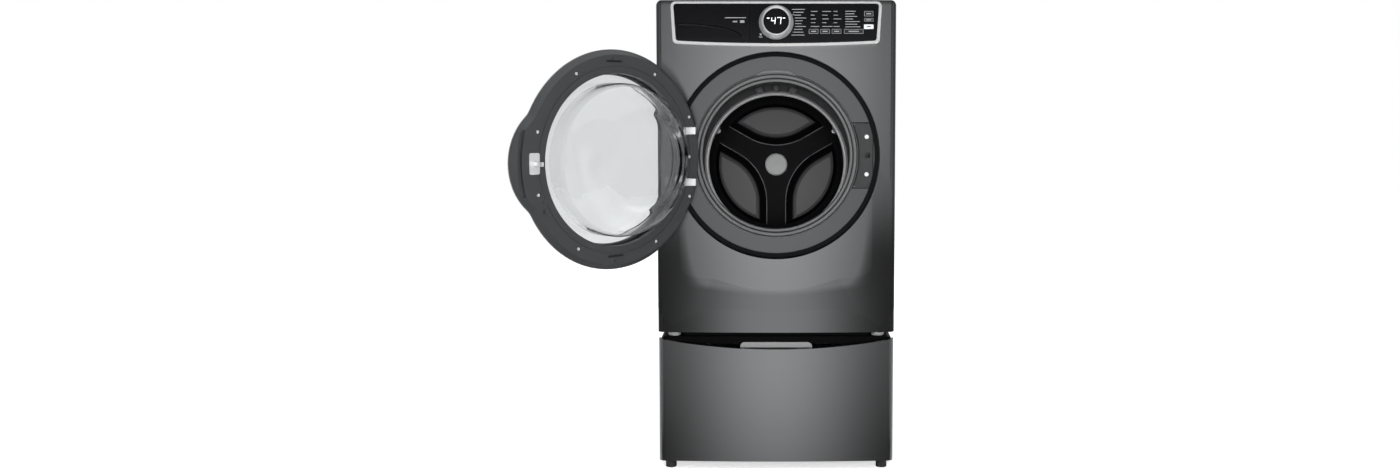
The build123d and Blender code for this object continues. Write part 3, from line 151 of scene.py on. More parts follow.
class WasherSizes(bpy.types.PropertyGroup):
    """Sizes of the small repeated parts."""

    hole_radius: length_setting(
        "Drum hole radius", "Radius of one drain hole in the drum wall", 0.0005, 0.006, 0.002)
    hole_rows: bpy.props.IntProperty(
        name="Hole rows", description="Rows of drain holes along the drum", min=2, max=30, default=13)
    screw_radius: length_setting(
        "Screw head radius", "Radius of the washer under a sheet metal screw head", 0.001, 0.01, 0.0058)
    mark_height: length_setting(
        "Print height", "How far the printed marks stand off the console", 0.00005, 0.001, 0.00025)
    spring_turns: bpy.props.IntProperty(
        name="Spring turns", description="Turns of each hanger spring", min=4, max=40, default=17)
    louvre_length: length_setting(
        "Louvre length", "Length of one louvre in the rear sheet", 0.01, 0.1, 0.046)


def finishes():
    """Colour settings of this scene."""
    return bpy.context.scene.washer_finishes


def sizes():
    """Size settings of this scene."""
    return bpy.context.scene.washer_sizes


# Materials
BLACK = (0.0, 0.0, 0.0)
GRAIN_DEPTH = 0.0002


def new_material(name):
    """Empty principled material with its tree and shader."""
    mat = bpy.data.materials.new(name)
    mat.use_nodes = True
    tree = mat.node_tree
    return mat, tree, tree.nodes["Principled BSDF"]


def fill(tree, node, inputs):
    """Give a node's inputs, by name or number, plain values or links from other nodes."""
    for key, value in inputs.items():
        if isinstance(value, bpy.types.NodeSocket):
            tree.links.new(value, node.inputs[key])
        else:
            node.inputs[key].default_value = value


def add(tree, kind, inputs, **settings):
    """New node with its settings and inputs."""
    node = tree.nodes.new(kind)
    for name, value in settings.items():
        setattr(node, name, value)
    fill(tree, node, inputs)
    return node


def own_place(tree):
    """The piece's own coordinates."""
    return add(tree, "ShaderNodeTexCoord", {}).outputs["Object"]


def grain(tree, scale, stretch=(1, 1, 1), detail=4.0):
    """Noise over the piece's own coordinates."""
    place = add(tree, "ShaderNodeMapping", {"Vector": own_place(tree), "Scale": stretch}).outputs["Vector"]
    return add(tree, "ShaderNodeTexNoise", {"Vector": place, "Scale": scale, "Detail": detail}).outputs[0]


def between(tree, factor, low, high):
    """Map a 0 to 1 value to a range."""
    return add(tree, "ShaderNodeMapRange", {"Value": factor, "To Min": low, "To Max": high}).outputs["Result"]


def calc(tree, operation, *values):
    """Result of a sum on sockets and plain numbers."""
    return add(tree, "ShaderNodeMath", dict(enumerate(values)), operation=operation).outputs[0]


def ramp(tree, value, start, end, low=0.0, high=1.0):
    """Smooth step from low to high as a value goes from start to end; low may be a socket."""
    inputs = {"Value": value, "From Min": start, "From Max": end, "To Min": low, "To Max": high}
    return add(tree, "ShaderNodeMapRange", inputs, interpolation_type="SMOOTHSTEP").outputs["Result"]


def axes(tree, move=None):
    """X, Y and Z of the piece's own coordinates, after an optional move to another frame."""
    place = own_place(tree)
    if move:
        inputs = {"Vector": place, "Location": move.to_translation(), "Rotation": move.to_euler()}
        place = add(tree, "ShaderNodeMapping", inputs).outputs["Vector"]
    parts = add(tree, "ShaderNodeSeparateXYZ", {0: place}).outputs
    return parts["X"], parts["Y"], parts["Z"]


def blended(tree, factor, first, second):
    """Mix of two colours, each a socket or plain numbers."""
    inputs = {0: factor}
    for number, value in ((6, first), (7, second)):
        inputs[number] = list(value) + [1] if isinstance(value, (list, tuple)) else value
    return add(tree, "ShaderNodeMix", inputs, data_type="RGBA").outputs[2]


def tinted(tree, factor, colour, amount):
    """Colour that varies a little either side of the given one."""
    dark = [max(0.0, c * (1 - amount)) for c in colour]
    pale = [min(1.0, c * (1 + amount)) for c in colour]
    return blended(tree, factor, dark, pale)


def bumped(tree, height, strength, distance=GRAIN_DEPTH):
    """Bump normal from a height."""
    inputs = {"Height": height, "Strength": strength, "Distance": distance}
    return add(tree, "ShaderNodeBump", inputs).outputs["Normal"]


def surface(tree, shader, tone, rough, normal, metallic=0.0):
    """Give a shader its colour, roughness, normal and metal share."""
    fill(tree, shader, {"Base Color": tone, "Roughness": rough, "Normal": normal, "Metallic": metallic})


def finish(name, colour, rough, metallic=0.0, scale=300.0, tint=0.06, vary=0.05, bump=0.1, depth=GRAIN_DEPTH,
           stretch=(1, 1, 1), ior=1.5):
    """Finish with fine grain in its colour, gloss and surface."""
    mat, tree, shader = new_material(name)
    fine = grain(tree, scale, stretch)
    broad = grain(tree, 9.0, detail=2.0)
    surface(tree, shader, tinted(tree, fine, colour, tint), between(tree, broad, rough - vary, rough + vary),
            bumped(tree, fine, bump, depth), metallic)
    shader.inputs["IOR"].default_value = ior
    return mat


def cabinet_paint():
    """Graphite paint with metal flake, with painted shade on the skirt, in the recess and along the edges of the
    front.
    """
    mat, tree, shader = new_material("graphite_flake_paint")
    flake = grain(tree, 1400.0, detail=1.0)
    peel = grain(tree, 700.0, detail=2.0)
    broad = grain(tree, 3.0, detail=2.0)
    tone = tinted(tree, flake, finishes().paint, 0.14)
    # Painted shade: the skirt, the recess floor and the rounded front edges are blended toward black
    for shade in (painted_skirt_shade(tree), painted_recess_shade(tree), painted_edge_shade(tree)):
        tone = blended(tree, shade, tone, BLACK)
    surface(tree, shader, tone, between(tree, broad, 0.255, 0.275), bumped(tree, peel, 0.008, 0.0001), 1.0)
    return mat


def painted_skirt_shade(tree):
    """Painted shade of the skirt below and beside the proud field of the front, deepest at the sides, fading upward.
    """
    level, corner, height = 0.17, 0.103, 0.122  # level half of the crease, its corner beyond, its height
    x, y, z = axes(tree)
    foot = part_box("front_panel")[0].z
    aside = calc(tree, "ABSOLUTE", x)
    turn = calc(tree, "DIVIDE", calc(tree, "MAXIMUM", calc(tree, "SUBTRACT", aside, level), 0.0), corner)
    sag = calc(tree, "MULTIPLY", calc(tree, "POWER", aside, 2.0), 0.42)
    rise = calc(tree, "MULTIPLY_ADD", calc(tree, "POWER", turn, 6.0), 0.3, sag)
    crease = calc(tree, "ADD", rise, foot + height)
    steep = calc(tree, "MULTIPLY_ADD", calc(tree, "POWER", turn, 5.0), 17.5, 1.0)
    below = ramp(tree, calc(tree, "DIVIDE", calc(tree, "SUBTRACT", crease, z), steep), -0.008, 0.016)
    fading = ramp(tree, z, foot + 0.21, foot + 0.45, 1.0, 0.0)
    depth = ramp(tree, aside, 0.08, 0.33, 0.28, 0.72)
    shade = calc(tree, "MULTIPLY", calc(tree, "MULTIPLY", below, fading), depth)
    return calc(tree, "MULTIPLY", shade, on_front(tree, y, z))


def on_front(tree, y, z):
    """Value that is 1 on the front of the washer and its rounded edges."""
    low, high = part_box("front_panel")
    return calc(tree, "MULTIPLY", calc(tree, "LESS_THAN", y, high.y - 0.004),
                calc(tree, "GREATER_THAN", z, low.z - 0.005))


def painted_edge_shade(tree):
    """Painted shade along the rounded sides and top of the front."""
    x, y, z = axes(tree)
    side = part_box("front_panel")[1].x
    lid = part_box("top_panel")[1].z
    most = 0.6
    sides = ramp(tree, calc(tree, "ABSOLUTE", x), side - 0.015, side - 0.003, 0.0, most)
    top = ramp(tree, z, lid - 0.016, lid - 0.004, 0.0, most)
    top = calc(tree, "MULTIPLY", top, calc(tree, "LESS_THAN", z, lid - 0.0006))
    return calc(tree, "MULTIPLY", calc(tree, "MAXIMUM", sides, top), on_front(tree, y, z))


def painted_recess_shade(tree):
    """Painted shade on the floor of the door recess."""
    margin = 0.003
    depth = 0.012
    most = 0.5
    low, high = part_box("door_surround_ring")
    x, y, z = axes(tree)
    up = calc(tree, "SUBTRACT", z, centre("door_surround_ring").z)
    reach = calc(tree, "ADD", calc(tree, "MULTIPLY", x, x), calc(tree, "MULTIPLY", up, up))
    within = calc(tree, "LESS_THAN", reach, ((high.x - low.x) / 2 + margin) ** 2)
    floor = calc(tree, "MULTIPLY", within, calc(tree, "GREATER_THAN", y, high.y - depth))
    return calc(tree, "MULTIPLY", floor, most)


def clear_glass():
    """Clear bowl and window, with faint waviness."""
    mat, tree, shader = new_material("clear_door_glass")
    wave = grain(tree, 14.0, detail=1.0)
    surface(tree, shader, tinted(tree, wave, (0.83, 0.84, 0.845), 0.02), between(tree, wave, 0.0, 0.03),
            bumped(tree, wave, 0.02, 0.0003))
    fill(tree, shader, {"Transmission Weight": 1.0, "IOR": 1.45})
    return mat


def lit(name, colour, strength):
    """Plain plastic with a soft even glow: lit display and key, and printed marks whose faint glow is painted light.
    """
    mat, tree, shader = new_material(name)
    fine = grain(tree, 500.0)
    tone = tinted(tree, fine, colour, 0.04)
    fill(tree, shader, {"Base Color": tone, "Emission Color": tone, "Emission Strength": strength,
                        "Roughness": between(tree, fine, 0.35, 0.45)})
    return mat


def galvanised_sheet():
    """Zinc sheet with its crystal spangle."""
    mat, tree, shader = new_material("galvanised_sheet")
    cells = add(tree, "ShaderNodeTexVoronoi", {"Vector": own_place(tree), "Scale": 70.0}).outputs["Color"]
    grey = add(tree, "ShaderNodeSeparateColor", {"Color": cells}).outputs
    surface(tree, shader, tinted(tree, grey["Red"], (0.5, 0.51, 0.52), 0.16), between(tree, grey["Green"], 0.34, 0.5),
            bumped(tree, grain(tree, 400.0), 0.06), 0.85)
    return mat


def seal_rubber():
    """Grey rubber of the door seal, with painted shade on its grooves and on the folds further in."""
    mat, tree, shader = new_material("grey_seal_rubber")
    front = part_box("door_gasket")[0].y
    # Painted shade: rubber deeper in than the lip's face is darkened to about a fifth of its tone
    deep_painted_shade = ramp(tree, axes(tree)[1], front + 0.0016, front + 0.0062)
    fine = grain(tree, 420.0)
    pale = tinted(tree, fine, finishes().seal, 0.08)
    dark = tinted(tree, fine, [0.22 * c for c in finishes().seal], 0.1)
    surface(tree, shader, blended(tree, deep_painted_shade, pale, dark), between(tree, fine, 0.45, 0.55),
            bumped(tree, fine, 0.12))
    shader.inputs["Specular IOR Level"].default_value = 0.25
    return mat


def drum_pressing():
    """Stainless drum back: satin lobes in a dimmed copy of the drum steel, and painted shade on the sides and floor
    of the pressed valley.
    """
    mat, tree, shader = new_material("pressed_drum_back")
    # Painted shade: the valley's sides and floor go near black, and the lobes take a dimmed copy of the drum steel
    deep_painted_shade = ramp(tree, axes(tree, DRUM.inverted())[1], HUB_V - 0.0195, HUB_V - 0.012)
    brush = grain(tree, 240.0, stretch=(1, 1, 6))
    lobes = tinted(tree, brush, [0.42 * c for c in finishes().stainless], 0.08)
    floor = tinted(tree, brush, (0.006, 0.006, 0.007), 0.2)
    rough = ramp(tree, deep_painted_shade, 0.0, 1.0, between(tree, brush, 0.36, 0.46), 0.28)
    surface(tree, shader, blended(tree, deep_painted_shade, lobes, floor), rough, bumped(tree, brush, 0.04), 0.35)
    shader.inputs["Specular IOR Level"].default_value = 0.08
    return mat


def drum_sheet():
    """Brushed drum wall with painted shade on its front wall, in behind the seal."""
    mat, tree, shader = new_material("drum_wall_sheet")
    brush = grain(tree, 260.0, stretch=(1, 8, 1))
    v = axes(tree, DRUM.inverted())[1]
    # Painted shade on the drum's front wall, in behind the seal
    wall = calc(tree, "COMPARE", v, WALL_V, 0.0009)
    bright = tinted(tree, brush, finishes().stainless, 0.1)
    surface(tree, shader, blended(tree, wall, bright, (0.03, 0.03, 0.031)), between(tree, brush, 0.28, 0.38),
            bumped(tree, brush, 0.05), 0.4)
    return mat


def bin_plastic():
    """Grey drawer plastic, with a painted shadow at the foot of the grip where the finger gap is."""
    mat, tree, shader = new_material("grey_bin_plastic")
    low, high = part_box("drawer_bin")
    y, z = axes(tree)[1:]
    fine = grain(tree, 500.0)
    # Painted shadow at the foot of the grip, in the finger gap
    foot = ramp(tree, z, high.z - 0.017, high.z - 0.013, 0.97, 0.0)
    shade = calc(tree, "MULTIPLY", foot, calc(tree, "LESS_THAN", y, low.y + 0.0004))
    plain = tinted(tree, fine, (0.36, 0.362, 0.365), 0.04)
    surface(tree, shader, blended(tree, shade, plain, BLACK), between(tree, fine, 0.42, 0.48),
            bumped(tree, fine, 0.12))
    return mat


def slot_materials():
    """One finish for each of the record's material slots."""
    f = finishes()
    return {
        "graphite_paint": cabinet_paint(),
        "galvanised": galvanised_sheet(),
        # Near-black sheet under the washer: real parts, their near-black partly painted shade of the gap between the
        # feet
        "black_sheet": finish("black_pan_and_painted_shade", (0.004, 0.004, 0.0045), 0.6, scale=600, bump=0.1, ior=1.15),
        "dark_plastic": finish("charcoal_moulding", f.charcoal, 0.42, scale=700, bump=0.18),
        "lock_plastic": finish("grey_lock_moulding", (0.036, 0.037, 0.038), 0.4, scale=600, bump=0.15),
        "bright": finish("polished_bright_metal", f.chrome, 0.1, metallic=1.0, scale=180, tint=0.03, vary=0.03,
                         bump=0.02, stretch=(1, 1, 8)),
        "black_gloss": finish("piano_black_panel", (0.006, 0.006, 0.007), 0.1, scale=60, vary=0.03, bump=0.01),
        "key_plastic": finish("smoked_key_plastic", (0.02, 0.02, 0.022), 0.25, scale=500, bump=0.05),
        "lit_key": lit("lit_white_key", (0.7, 0.72, 0.74), 0.2),
        "gasket_rubber": seal_rubber(),
        "silver_shell": finish("silver_door_paint", (0.36, 0.365, 0.37), 0.3, metallic=0.7, scale=900, bump=0.04),
        "clear": clear_glass(),
        "drum_steel": finish("brushed_drum_steel", f.stainless, 0.32, metallic=0.6, scale=260, tint=0.1,
                             bump=0.06, stretch=(1, 8, 1)),
        "lifter_plastic": finish("grey_lifter_plastic", (0.5, 0.5, 0.51), 0.4, scale=500, bump=0.12),
        "tub_plastic": finish("filled_tub_plastic", (0.52, 0.52, 0.5), 0.6, scale=220, tint=0.1, bump=0.25),
        "ballast": finish("cast_ballast", (0.27, 0.265, 0.26), 0.85, scale=120, tint=0.25, bump=0.6, depth=0.001),
        "drive_metal": finish("cast_drive_metal", (0.6, 0.6, 0.61), 0.42, metallic=0.9, scale=200, bump=0.3),
        "steel": finish("plain_steel", (0.45, 0.45, 0.46), 0.32, metallic=1.0, scale=260, stretch=(1, 1, 6)),
        "belt_rubber": finish("ribbed_belt_rubber", (0.02, 0.02, 0.021), 0.6, scale=300, bump=0.3, stretch=(1, 6, 1)),
        "light_plastic": finish("light_grey_plastic", (0.6, 0.61, 0.61), 0.4, scale=500, tint=0.04, bump=0.12),
        "black_plastic": finish("black_moulding", (0.022, 0.022, 0.024), 0.5, scale=500, bump=0.2),
    }


# Meshes
def piece(name, mesh, material, body, smooth=True):
    """Object at the origin with one material, riding on a body."""
    obj = bpy.data.objects.new(name, mesh)
    bpy.context.scene.collection.objects.link(obj)
    mesh.materials.clear()
    mesh.materials.append(material)
    for polygon in mesh.polygons:
        polygon.use_smooth = smooth
    if body:
        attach(obj, body)
    return obj


def mesh_from(bm, name):
    """Plain mesh from a bmesh, doubles merged and faces outward."""
    bmesh.ops.remove_doubles(bm, verts=bm.verts, dist=1e-6)
    bmesh.ops.recalc_face_normals(bm, faces=bm.faces)
    mesh = bpy.data.meshes.new(name)
    bm.to_mesh(mesh)
    bm.free()
    return mesh


def band(bm, low, high):
    """Faces between two rings of vertices."""
    for k in range(len(low)):
        m = (k + 1) % len(low)
        bm.faces.new((low[k], low[m], high[m], high[k]))


def skin(bm, rings):
    """Faces through rings of points, with flat ends."""
    rows = [[bm.verts.new(p) for p in ring] for ring in rings]
    for low, high in zip(rows, rows[1:]):
        band(bm, low, high)
    bm.faces.new(rows[0])
    bm.faces.new(rows[-1])


def rings_mesh(name, rings):
    """Closed skin through rings of points, joined round both ways."""
    bm = bmesh.new()
    rows = [[bm.verts.new(p) for p in ring] for ring in rings]
    for low, high in zip(rows, rows[1:] + rows[:1]):
        band(bm, low, high)
    return mesh_from(bm, name)


def tube_mesh(name, paths, radius, sides):
    """Round tubes along open paths, with flat ends."""
    bm = bmesh.new()
    for path in paths:
        rows = []
        for i, p in enumerate(path):
            t = (path[min(i + 1, len(path) - 1)] - path[max(i - 1, 0)]).normalized()
            a = t.orthogonal().normalized() if not rows else (a - t * a.dot(t)).normalized()
            b = t.cross(a)
            rows.append([p + radius * (a * cos(2 * pi * k / sides) + b * sin(2 * pi * k / sides))
                         for k in range(sides)])
        skin(bm, rows)
    return mesh_from(bm, name)


def plate_mesh(name, outlines, place, height):
    """Thin plates from flat outlines in x and z, placed by a function of x, z and lift."""
    bm = bmesh.new()
    for outline in outlines:
        skin(bm, [[place(x, z, lift) for x, z in outline] for lift in (0.0, height)])
    return mesh_from(bm, name)


# Geometry node trees for parts that repeat
def new_tree(name, inputs):
    """Empty geometry tree with named inputs, and its input and output nodes."""
    tree = bpy.data.node_groups.new(name, "GeometryNodeTree")
    tree.interface.new_socket("Geometry", in_out="INPUT", socket_type="NodeSocketGeometry")
    for label, kind in inputs:
        tree.interface.new_socket(label, in_out="INPUT", socket_type=kind)
    tree.interface.new_socket("Geometry", in_out="OUTPUT", socket_type="NodeSocketGeometry")
    return tree, tree.nodes.new("NodeGroupInput"), tree.nodes.new("NodeGroupOutput")


def named_vector(tree, name):
    """Read a vector stored on the points."""
    return add(tree, "GeometryNodeInputNamedAttribute", {"Name": name}, data_type="FLOAT_VECTOR").outputs["Attribute"]


def finish_tree(tree, given, out_node, instance, rotation, scale=None):
    """Put an instance on every point, make it real, set its material and end the tree."""
    inputs = {"Points": given["Geometry"], "Instance": instance, "Rotation": rotation}
    if scale:
        inputs["Scale"] = scale
    put = add(tree, "GeometryNodeInstanceOnPoints", inputs).outputs["Instances"]
    real = add(tree, "GeometryNodeRealizeInstances", {"Geometry": put}).outputs["Geometry"]
    paint = add(tree, "GeometryNodeSetMaterial", {"Geometry": real, "Material": given["Material"]})
    fill(tree, out_node, {"Geometry": paint.outputs["Geometry"]})
    return tree


def stud_tree():
    """Tree that stands a stepped head on every point, along the point's facing."""
    inputs = [("Base radius", "NodeSocketFloat"), ("Base height", "NodeSocketFloat"),
              ("Head radius", "NodeSocketFloat"), ("Head height", "NodeSocketFloat"),
              ("Head sides", "NodeSocketInt"), ("Material", "NodeSocketMaterial")]
    tree, src, out = new_tree("heads_on_points", inputs)
    given = src.outputs
    base, head = [add(tree, "GeometryNodeMeshCylinder", {"Vertices": sides, "Radius": given[label + " radius"],
                                                         "Depth": given[label + " height"]}).outputs["Mesh"]
                  for label, sides in (("Base", 20), ("Head", given["Head sides"]))]
    up = add(tree, "ShaderNodeCombineXYZ", {"Z": calc(tree, "MULTIPLY", given["Head height"], 0.5)}).outputs[0]
    lifted = add(tree, "GeometryNodeTransform", {"Geometry": head, "Translation": up}).outputs["Geometry"]
    both = add(tree, "GeometryNodeJoinGeometry", {0: base})
    fill(tree, both, {0: lifted})
    turn = add(tree, "FunctionNodeAlignRotationToVector", {"Vector": named_vector(tree, "facing")}, axis="Z")
    return finish_tree(tree, given, out, both.outputs[0], turn.outputs["Rotation"])


def bar_tree():
    """Tree that lays a thin bar on every point, sized and turned by the point."""
    tree, src, out = new_tree("bars_on_points", [("Height", "NodeSocketFloat"), ("Material", "NodeSocketMaterial")])
    size = add(tree, "ShaderNodeCombineXYZ", {"X": 1.0, "Y": 1.0, "Z": src.outputs["Height"]}).outputs[0]
    cube = add(tree, "GeometryNodeMeshCube", {"Size": size}).outputs["Mesh"]
    turn = add(tree, "FunctionNodeAxesToRotation", {"Primary Axis": named_vector(tree, "facing"),
                                                    "Secondary Axis": named_vector(tree, "along")},
               primary_axis="Z", secondary_axis="X")
    return finish_tree(tree, src.outputs, out, cube, turn.outputs["Rotation"], named_vector(tree, "extent"))


def tree_named(name, make):
    """The tree of that name, made when first asked for."""
    return bpy.data.node_groups.get(name) or make()


def grown(name, points, attributes, tree, values, body):
    """Run a tree on points and keep its result as a plain mesh piece."""
    mesh = bpy.data.meshes.new(name + "_points")
    mesh.from_pydata([tuple(p) for p in points], [], [])
    for label, vectors in attributes.items():
        layer = mesh.attributes.new(label, "FLOAT_VECTOR", "POINT")
        for item, v in zip(layer.data, vectors):
            item.vector = v
    seed = bpy.data.objects.new(name + "_seed", mesh)
    bpy.context.scene.collection.objects.link(seed)
    modifier = seed.modifiers.new("repeat", "NODES")
    modifier.node_group = tree
    for item in tree.interface.items_tree:
        if item.in_out == "INPUT" and item.name in values:
            modifier[item.identifier] = values[item.name]
    seen = seed.evaluated_get(bpy.context.evaluated_depsgraph_get())
    result = bpy.data.meshes.new_from_object(seen)
    result.name = name
    if not result.polygons:
        raise RuntimeError("no faces in " + name)
    seed.modifiers.remove(modifier)
    bpy.data.objects.remove(seed)
    return piece(name, result, values["Material"], body, smooth=False)


def heads(name, points, facings, material, body, radius, sides=6, flat=0.0012, tall=0.0034, share=0.66):
    """Screw heads or studs at points."""
    values = {"Base radius": radius, "Base height": flat, "Head radius": radius * share, "Head height": tall,
              "Head sides": sides, "Material": material}
    return grown(name, points, {"facing": facings}, tree_named("heads_on_points", stud_tree), values, body)


def bars(name, marks, place, facing, along_x, material, body, height):
    """Thin printed bars from (x, z, width, height) marks."""
    points = [place(x, z) for x, z, _, _ in marks]
    vectors = {
        "facing": [facing] * len(marks),
        "along": [along_x] * len(marks),
        "extent": [(w, h, 1.0) for _, _, w, h in marks],
    }
    values = {"Height": height, "Material": material}
    return grown(name, points, vectors, tree_named("bars_on_points", bar_tree), values, body)


def coat(node, material):
    """Give a solid one finish."""
    mesh = frame["nodes"][node].data
    mesh.materials.clear()
    mesh.materials.append(material)


class WASHER_OT_dress(bpy.types.Operator):
    """Give every solid of the washer its finish"""

    bl_idname = "washer.dress"
    bl_label = "Finish the solids"

    def execute(self, context):
        made = slot_materials()
        for slot, nodes in NODES_OF_SLOT.items():
            for node in nodes:
                coat(node, made[slot])
        satin = finish("satin_bright_trim", (0.86, 0.865, 0.87), 0.22, metallic=0.55, scale=240, tint=0.02, vary=0.03,
                       bump=0.01)
        cap = finish("pale_hub_cap", (0.72, 0.725, 0.73), 0.4, scale=400, bump=0.06)
        turned = finish("turned_knob_metal", (0.8, 0.805, 0.81), 0.3, metallic=0.68, scale=240, tint=0.02, bump=0.005)
        ring = finish("black_ring_moulding", (0.006, 0.006, 0.007), 0.5, scale=600, bump=0.1, ior=1.2)
        own = {"drawer_bin": bin_plastic(), "drum_back": drum_pressing(), "drum_shell": drum_sheet(),
               "selector_knob": turned, "hub_cap": cap, "door_surround_ring": ring}
        for node in ("console_trim", "dispenser_trim", "door_striker", "door_screws", "hinge_bracket", "door_hinge"):
            own[node] = satin
        for node, material in own.items():
            coat(node, material)
        return {"FINISHED"}


class WASHER_OT_seal(bpy.types.Operator):
    """Make the folded rubber seal between the door recess and the tub"""

    bl_idname = "washer.seal"
    bl_label = "Door seal"

    def execute(self, context):
        rubber = bpy.data.materials["grey_seal_rubber"]
        low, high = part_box("door_gasket")
        middle = centre("door_surround_ring").z
        y0 = low.y
        # Radius in metres and depth in millimetres over the lip, from inside to outside
        lip = [(0.2110, 6.0), (0.2114, 2.4), (0.2124, 0.6), (0.2150, 0.0), (0.2172, 0.2), (0.2184, 2.6),
               (0.2192, 5.6), (0.2206, 6.2), (0.2220, 5.6), (0.2228, 2.6), (0.2240, 0.5), (0.2280, 0.2),
               (0.2298, 1.0), (0.2306, 3.6), (0.2316, 5.8), (0.2332, 5.8), (0.2340, 3.0), (0.2350, 2.0),
               (0.2357, 4.6), (0.2360, 8.0), (0.2360, 20.0), (0.2330, 23.5), (0.2270, 25.0)]
        mouth = Vector((0, y0 + 0.026, middle))
        collar = on_drum(Vector(), (DRUM.inverted() @ Vector((0, high.y, middle))).y - 0.0005)
        tilt = DRUM.to_3x3()
        upright = Matrix.Identity(3)
        rings = [self.ring(Vector((0, y0 + dy / 1000, middle)), upright, r) for r, dy in lip]
        for t, r in self.folds():
            rings.append(self.ring(mouth.lerp(collar, t), upright.lerp(tilt, t), r))
        rings.append(self.ring(mouth, upright, 0.2112))
        mesh = rings_mesh("door_seal", rings)
        seal = piece("door_seal", mesh, rubber, None)
        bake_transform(seal)
        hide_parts("door_gasket")
        self.tab(middle, y0)
        self.ports()
        return {"FINISHED"}

    def ring(self, place, turn, r):
        """Points round a circle across the axis."""
        count = 160
        return [place + turn @ round_y(2 * pi * k / count, r) for k in range(count)]

    def folds(self):
        """Share of the way to the tub and radius, out along the outer skin and back along the inner."""
        count = 40
        waves = 3
        shares = [k / count for k in range(1, count + 1)]
        outer = [(t, 0.2252 + 0.0126 * t + 0.0022 * sin(2 * pi * waves * t)) for t in shares]
        inner = [(t, 0.2126 + 0.0196 * t + 0.0030 * sin(2 * pi * waves * t)) for t in reversed(shares)]
        return outer + inner

    def tab(self, middle, y0):
        """Pull tab on top of the lip."""
        rubber = finish("seal_tab_rubber", finishes().seal, 0.5, scale=420)
        steps = 24
        spread = 13.8
        most = 0.0095
        rows = []
        for k in range(steps + 1):
            a = radians(90 + spread * (1 - 2 * k / steps))
            swell = most * min(1.0, 3.2 * min(k, steps - k) / steps + 0.35)
            outline = ((0.2340, 0.006), (0.2348 + swell, 0.007), (0.2356 + swell, 0.009), (0.2356 + swell, 0.013),
                       (0.2340, 0.014))
            rows.append([round_y(a, r) + Vector((0, y0 + dy, middle)) for r, dy in outline])
        bm = bmesh.new()
        skin(bm, rows)
        piece("seal_tab", mesh_from(bm, "seal_tab"), rubber, "cabinet")

    def ports(self):
        """Spray ports at the top of the mouth, just before the drum."""
        reach = 0.2215
        half_height = 0.0115
        sides = 16
        bm = bmesh.new()
        for angle, half_width in ((103, 0.015), (90, 0.0105), (77, 0.015)):
            out = round_y(radians(angle))
            side = round_y(radians(angle + 90))
            rows = []
            for depth, swell in ((-0.020, 0.55), (-0.018, 0.85), (-0.012, 1.0), (-0.007, 0.95)):
                row = []
                for k in range(sides):
                    t = 2 * pi * k / sides
                    p = side * (half_width * swell * cos(t)) + out * (reach + half_height * swell * sin(t))
                    row.append(on_drum(p, WALL_V + depth))
                rows.append(row)
            skin(bm, rows)
        port = finish("spray_port_rubber", (0.07, 0.071, 0.073), 0.5, scale=400)
        piece("seal_ports", mesh_from(bm, "seal_ports"), port, "tub")


class WASHER_OT_springs(bpy.types.Operator):
    """Wind the two hanger springs of the tub"""

    bl_idname = "washer.springs"
    bl_label = "Hanger springs"

    def execute(self, context):
        low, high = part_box("suspension_springs")
        y = (low.y + high.y) / 2
        wire = 0.0016
        coil = (high.y - low.y) / 2 - wire
        length = high.z - low.z - 2 * wire
        turns = sizes().spring_turns
        steps = turns * 16
        paths = []
        for x in (low.x + coil + wire, high.x - coil - wire):
            path = []
            for k in range(steps + 1):
                t = k / steps
                a = 2 * pi * turns * t
                path.append(Vector((x + coil * cos(a), y + coil * sin(a), high.z - wire - length * t)))
            paths.append(path)
        mesh = tube_mesh("hanger_springs", paths, wire, 8)
        obj = piece("hanger_springs", mesh, bpy.data.materials["plain_steel"], None)
        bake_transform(obj)
        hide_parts("suspension_springs")
        return {"FINISHED"}


class WASHER_OT_drum(bpy.types.Operator):
    """Pierce the drum wall and bead the edges of the pressed back"""

    bl_idname = "washer.drum"
    bl_label = "Drum holes and beads"

    def execute(self, context):
        dark = finish("dark_drain_hole", (0.008, 0.008, 0.009), 0.6)
        low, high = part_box("drum_shell")
        r = (high.x - low.x) / 2 - 0.0021
        v0 = WALL_V + 0.007
        v1 = HUB_V - 0.03
        rows = sizes().hole_rows
        count = 84
        lifter = radians(15)
        points = []
        facings = []
        for row in range(rows):
            v = v0 + (v1 - v0) * row / (rows - 1)
            for k in range(count):
                a = 2 * pi * (k + 0.5 * (row % 2)) / count
                near = min(abs((a - radians(arm) + pi) % (2 * pi) - pi) for arm in ARMS)
                if near >= lifter:
                    points.append(on_drum(round_y(a, r), v))
                    facings.append(DRUM.to_3x3() @ -round_y(a))
        heads("drum_holes", points, facings, dark, "drum", sizes().hole_radius, sides=8,
              flat=0.0004, tall=0.0006, share=0.5)
        self.beads()
        self.clips()
        return {"FINISHED"}

    def clips(self):
        """Bright clips that hold the lifters at the ends of the arms."""
        points = [on_drum(round_y(radians(arm), 0.219), HUB_V - 0.004) for arm in ARMS]
        facings = [DRUM.to_3x3() @ FRONT] * len(points)
        heads("lifter_clips", points, facings, bpy.data.materials["satin_bright_trim"], "drum", 0.0075,
              sides=8, flat=0.003, tall=0.005, share=0.7)

    def beads(self):
        """Bright edges of the three-armed valley: each runs in along one arm, round a bend and out along the next."""
        half = 0.031
        bend = 0.182
        reach = 0.196
        lift = HUB_V + 0.0035
        start = (half + bend) / tan(radians(60))
        near = (half + bend) * 2 / sqrt(3)
        paths = []
        for lobe in (90, 210, 330):
            mid = round_y(radians(lobe), near)
            path = []
            for side in (-1, 1):
                arm = radians(lobe + side * 60)
                across = round_y(arm + pi / 2, -side * half)
                line = [round_y(arm, start + (reach - start) * k / 6) + across for k in range(7)]
                turn = [mid + round_y(radians(lobe + 180 + side * 30 * (1 - k / 11)), bend) for k in range(12)]
                if side < 0:
                    path = line[::-1] + turn[:-1]
                else:
                    path += turn[::-1] + line
            paths.append([on_drum(p, lift) for p in path])
        mesh = tube_mesh("drum_back_beads", paths, 0.0014, 8)
        piece("drum_back_beads", mesh, bpy.data.materials["brushed_drum_steel"], "drum")


